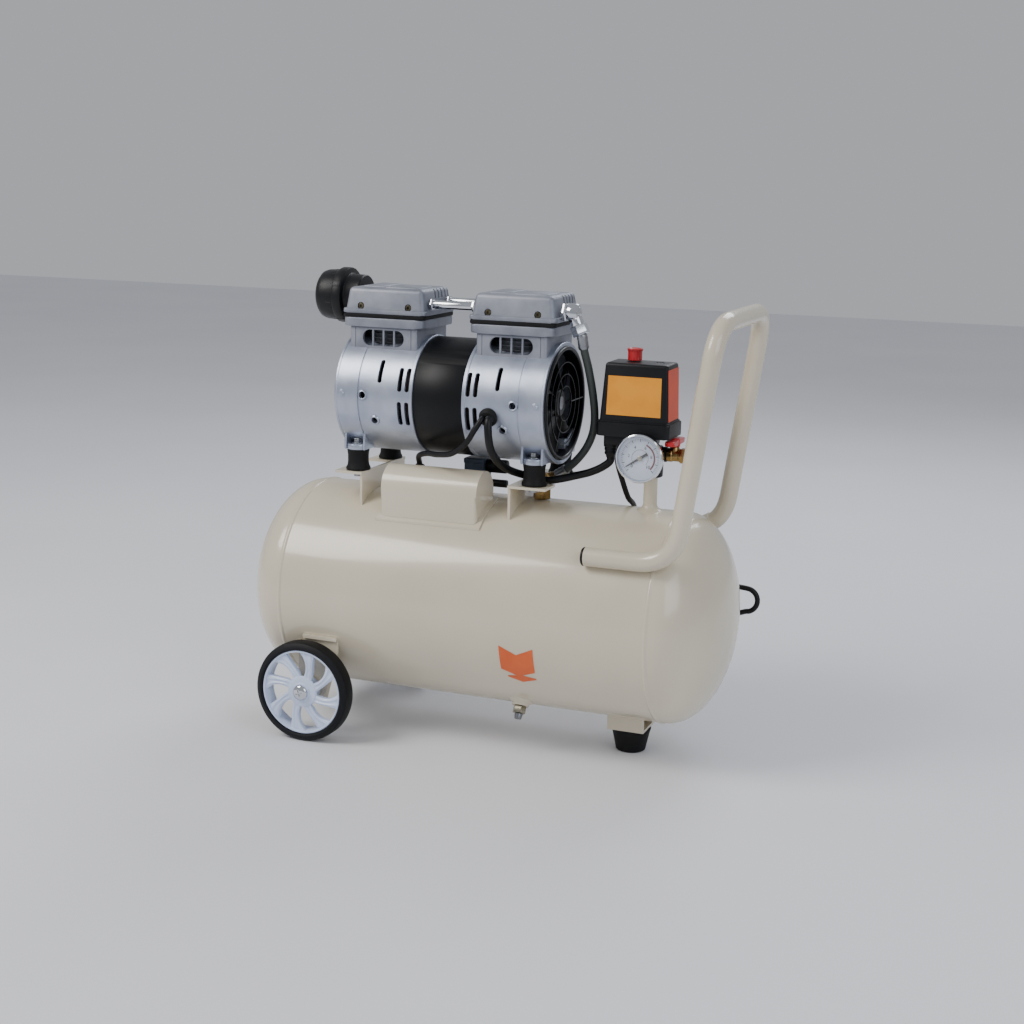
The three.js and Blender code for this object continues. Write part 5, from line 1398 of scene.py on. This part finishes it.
def outlet_valve():
    """The brass body: a ringed barrel, a hexagonal mouth and the bonnet under the lever."""
    low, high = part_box("valve_body")
    x, z = middle("valve_lever").x, PORT_Z
    length = high.x - low.x
    body = [(0, 0.0037), (0, 0.0074), (0.0008, 0.0080), (0.0060, 0.0080), (0.0070, 0.0072),
            (length - 0.0090, 0.0072), (length - 0.0080, 0.0080), (length - 0.0070, 0.0080),
            (length - 0.0070, 0.0037), (0, 0.0037)]
    barrel = turned(body, aim((low.x, 0, z), X), 48)
    hexagon = cut(prism(regular(6, 0.0095), aim((high.x - 0.0070, 0, z), X), 0.0070, 0.0008),
                  [rod((high.x - 0.01, 0, z), (high.x + 0.002, 0, z), 0.0036, soft=0.0001)])
    bonnet = turned([(0.0040, 0), (0.0040, 0.0060), (0.0085, 0.0057), (0.0099, 0.0050), (0.0100, 0)],
                    aim((x, 0, z), Z), 36)
    piece("outlet_valve_brass", joined(barrel, hexagon, bonnet), BRASS,
          replaces=["valve_body"])


def valve_lever():
    """A waisted wing lever, with a round boss on the valve's stem."""
    x, top = middle("valve_lever").x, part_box("valve_lever")[1].z
    half, count = 0.0055, 48
    outline = []
    for i in range(count):
        angle = TAU * i / count
        reach = 0.0068 + 0.0172 * abs(math.sin(angle)) ** 1.6
        outline.append((min(max(reach * math.cos(angle) * 1.02, -half), half), reach * math.sin(angle)))
    wings = prism(outline, Matrix.Translation((x, 0, top - 0.0073)), 0.0058, 0.0016, 3)
    boss = turned([(0, 0), (0, 0.0060), (0.0020, 0.0064), (0.0080, 0.0063), (0.0092, 0.0054), (0.0096, 0)],
                  aim((x, 0, top - 0.0097), Z), 36)
    piece("outlet_lever_wings", joined(wings, boss), RED, body="outlet_lever",
          replaces=["valve_lever"])


# ---------- handle ----------
def handle_path():
    """Straight runs joined by parabolic bends, as the CAD tube has."""
    up = Vector((math.sin(HANDLE_LEAN), 0, math.cos(HANDLE_LEAN)))
    tangent = KNEE_BEND * math.tan((TAU / 4 - HANDLE_LEAN) / 2)
    shoulder_x = HANDLE_KNEE + (HANDLE_TOP - HANDLE_LOW) * math.tan(HANDLE_LEAN)
    knee = Vector((HANDLE_KNEE, -HANDLE_Y, HANDLE_LOW))
    shoulder = Vector((shoulder_x, -HANDLE_Y, HANDLE_TOP))
    half = [Vector((HANDLE_STUB, -HANDLE_Y, HANDLE_LOW))]
    half += bend(knee - X * tangent, knee, knee + up * tangent)
    half += bend(shoulder - up * SHOULDER_BEND, shoulder, shoulder + Y * SHOULDER_BEND)
    return half + [Vector((p.x, -p.y, p.z)) for p in reversed(half)]


def bend(start, middle_point, end, steps=16):
    """A parabola from start to end that would pass its corner at the middle point."""
    points = []
    for i in range(steps + 1):
        t = i / steps
        points.append(start * (1 - t) ** 2 + middle_point * 2 * t * (1 - t) + end * t ** 2)
    return points


def handle():
    """The painted tube, a black plug in each open end, and the welds on the tank."""
    path = handle_path()
    start = path[0]
    profile = [(-0.0006, 0), (-0.0006, 0.0105), (0.0004, 0.0109), (0.0022, 0.0107), (0.0033, 0.0098),
               (0.0035, 0)]
    piece("handle_tube", sweep(path, HANDLE_RADIUS, 48), PAINT, replaces=["handle"])
    for side, sign in (("front", -1), ("rear", 1)):
        end = Vector((start.x, sign * HANDLE_Y, start.z))
        piece(f"handle_end_{side}", turned(profile, aim(end, -X), 48), PLASTIC,
              replaces=[f"handle_plug_{side}"])
        bead = turned(weld_profile(), aim((start.x + 0.052, sign * 0.0965, 0.2490), X), 24)
        piece(f"handle_weld_{side}", bead, PAINT)


def weld_profile():
    return [(-0.030, 0), (-0.029, 0.0022), (-0.010, 0.0030), (0.010, 0.0028), (0.029, 0.0022), (0.030, 0)]


# ---------- capacitor cover ----------
def capacitor_cover():
    """The painted half-barrel, with a rolled lip where it meets the tank."""
    low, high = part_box("capacitor_cover")
    radius, y = 0.027, -0.048
    crown = high.z - radius
    x0, x1 = low.x + 0.006, high.x - 0.006
    arc = [TAU / 2 * i / 32 for i in range(33)]
    outline = [(y + radius * math.cos(a), crown + radius * math.sin(a)) for a in arc]
    outline += [(y - radius, low.z + 0.006), (y + radius, low.z + 0.012)]
    shell = prism(outline, Matrix.Translation((x0, 0, 0)) @ SIDEWAYS, x1 - x0, 0.0042, 5)
    piece("capacitor_hood", joined(shell, hood_lip(low, high, radius, y)), PAINT,
          replaces=["capacitor_cover"])


def hood_lip(low, high, radius, y):
    """A thin rolled lip that follows the tank's curve round the hood."""
    shape = bmesh.new()
    steps = 24
    y0, y1 = y - radius - 0.0038, y + radius + 0.0028
    rows = []
    for i in range(steps + 1):
        across = y0 + (y1 - y0) * i / steps
        row = []
        for lift in (0.0003, 0.0023):
            z = TANK_Z + math.sqrt((TANK_RADIUS + lift) ** 2 - across ** 2)
            row.append([shape.verts.new((x, across, z)) for x in (low.x, high.x)])
        rows.append(row)
    for a, b in zip(rows, rows[1:]):
        shape.faces.new((a[1][0], a[1][1], b[1][1], b[1][0]))
        shape.faces.new((a[0][1], a[0][0], b[0][0], b[0][1]))
        for end in (0, 1):
            shape.faces.new((a[0][end], a[1][end], b[1][end], b[0][end]))
    for row in (rows[0], rows[-1]):
        shape.faces.new((row[0][0], row[0][1], row[1][1], row[1][0]))
    bmesh.ops.recalc_face_normals(shape, faces=shape.faces)
    return shape


# ---------- cables held at both ends ----------
def cables():
    """Both cables from the motor, the collar that they leave it through, and the hood's grommet."""
    to_capacitor = sweep(smooth_path(CAPACITOR_CABLE, 8), CAPACITOR_CABLE_RADIUS, 18)
    piece("capacitor_cable", to_capacitor, SHEATH, replaces=["cable_capacitor"])
    to_switch = sweep(smooth_path(SWITCH_CABLE, 8), SWITCH_CABLE_RADIUS, 20)
    piece("switch_cable", to_switch, SHEATH, replaces=["cable_switch"])
    out = radial(GROMMET_ANGLE)
    base = Vector((GROMMET_AT, 0, MOTOR.z)) + out * (HOUSING - 0.001)
    collar = turned([(0, 0), (0, 0.0112), (0.0022, 0.0112), (0.0032, 0.0100), (0.0050, 0.0092),
                     (0.0062, 0.0078), (0.0062, 0)], aim(base, out), 48)
    piece("cable_grommet", collar, RUBBER)
    end = Vector(CAPACITOR_CABLE[-1])
    cup = turned([(0, 0), (0, 0.0062), (0.0018, 0.0060), (0.0030, 0.0045), (0.0030, 0)],
                 aim(end - Vector((0, -0.0015, 0.0035)), Vector((0, 0.45, 0.9))), 32)
    piece("hood_grommet", cup, RUBBER)


def dress(names, material):
    """Gives CAD nodes whose shape is right a better material."""
    for name in names:
        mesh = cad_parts[name].data
        mesh.materials.clear()
        mesh.materials.append(material)


# ---------- floor and light ----------
def studio():
    """A plain pale floor, soft ambient light and three large lamps."""
    mesh = bpy.data.meshes.new("floor")
    reach = 6.0
    mesh.from_pydata([(-reach, -reach, 0), (reach, -reach, 0), (reach, reach, 0), (-reach, reach, 0)], [],
                     [(0, 1, 2, 3)])
    mesh.materials.append(surface("pale_floor", "#e4e5ea", "#e0e1e7", 0.7, grain=300, bump=0.01, patch=2))
    floor = bpy.data.objects.new("floor", mesh)
    bpy.context.collection.objects.link(floor)
    world = bpy.data.worlds.new("studio")
    world.use_nodes = True
    world.node_tree.nodes["Background"].inputs["Color"].default_value = (0.86, 0.88, 0.93, 1)
    world.node_tree.nodes["Background"].inputs["Strength"].default_value = 0.5
    bpy.context.scene.world = world
    lamp("key", (-1.6, -1.5, 2.2), 1.3, 58, (1.0, 0.97, 0.93))
    lamp("fill", (1.9, -1.3, 1.4), 1.5, 18, (0.90, 0.94, 1.0))
    lamp("back", (0.3, 1.8, 1.9), 1.2, 22, (0.92, 0.95, 1.0))


def lamp(name, place, size, power, colour):
    data = bpy.data.lights.new(name, "AREA")
    data.energy = power
    data.size = size
    data.color = colour
    made = bpy.data.objects.new(name, data)
    bpy.context.collection.objects.link(made)
    made.matrix_world = aim(place, Vector(place) - Vector((0, 0, 0.25)))


# ---------- the whole machine ----------
mains_cord()
tank()
tank_label()
drain()
for end in ("front", "rear"):
    wheel(end)
    wheel_bolt(end)
foot()
for across in ("left", "right"):
    for depth in ("front", "rear"):
        rubber_mount(f"mount_{across}_{depth}")
motor_core()
for direction in (-1, 1):
    housing(direction)
    fan(direction)
for across in ("left", "right"):
    head(across)
transfer_tubes()
air_filter()
outlet()
check_valve()
unloader()
pressure_switch()
switch_knob()
manifold()
gauge()
outlet_valve()
valve_lever()
handle()
capacitor_cover()
cables()
dress(["wheel_bracket_front", "wheel_bracket_rear", "foot_bracket", "saddle_left", "saddle_right"], PAINT)
dress(["piston_left", "piston_right"], CAST)
dress(["capacitor"], SHELL)
studio()
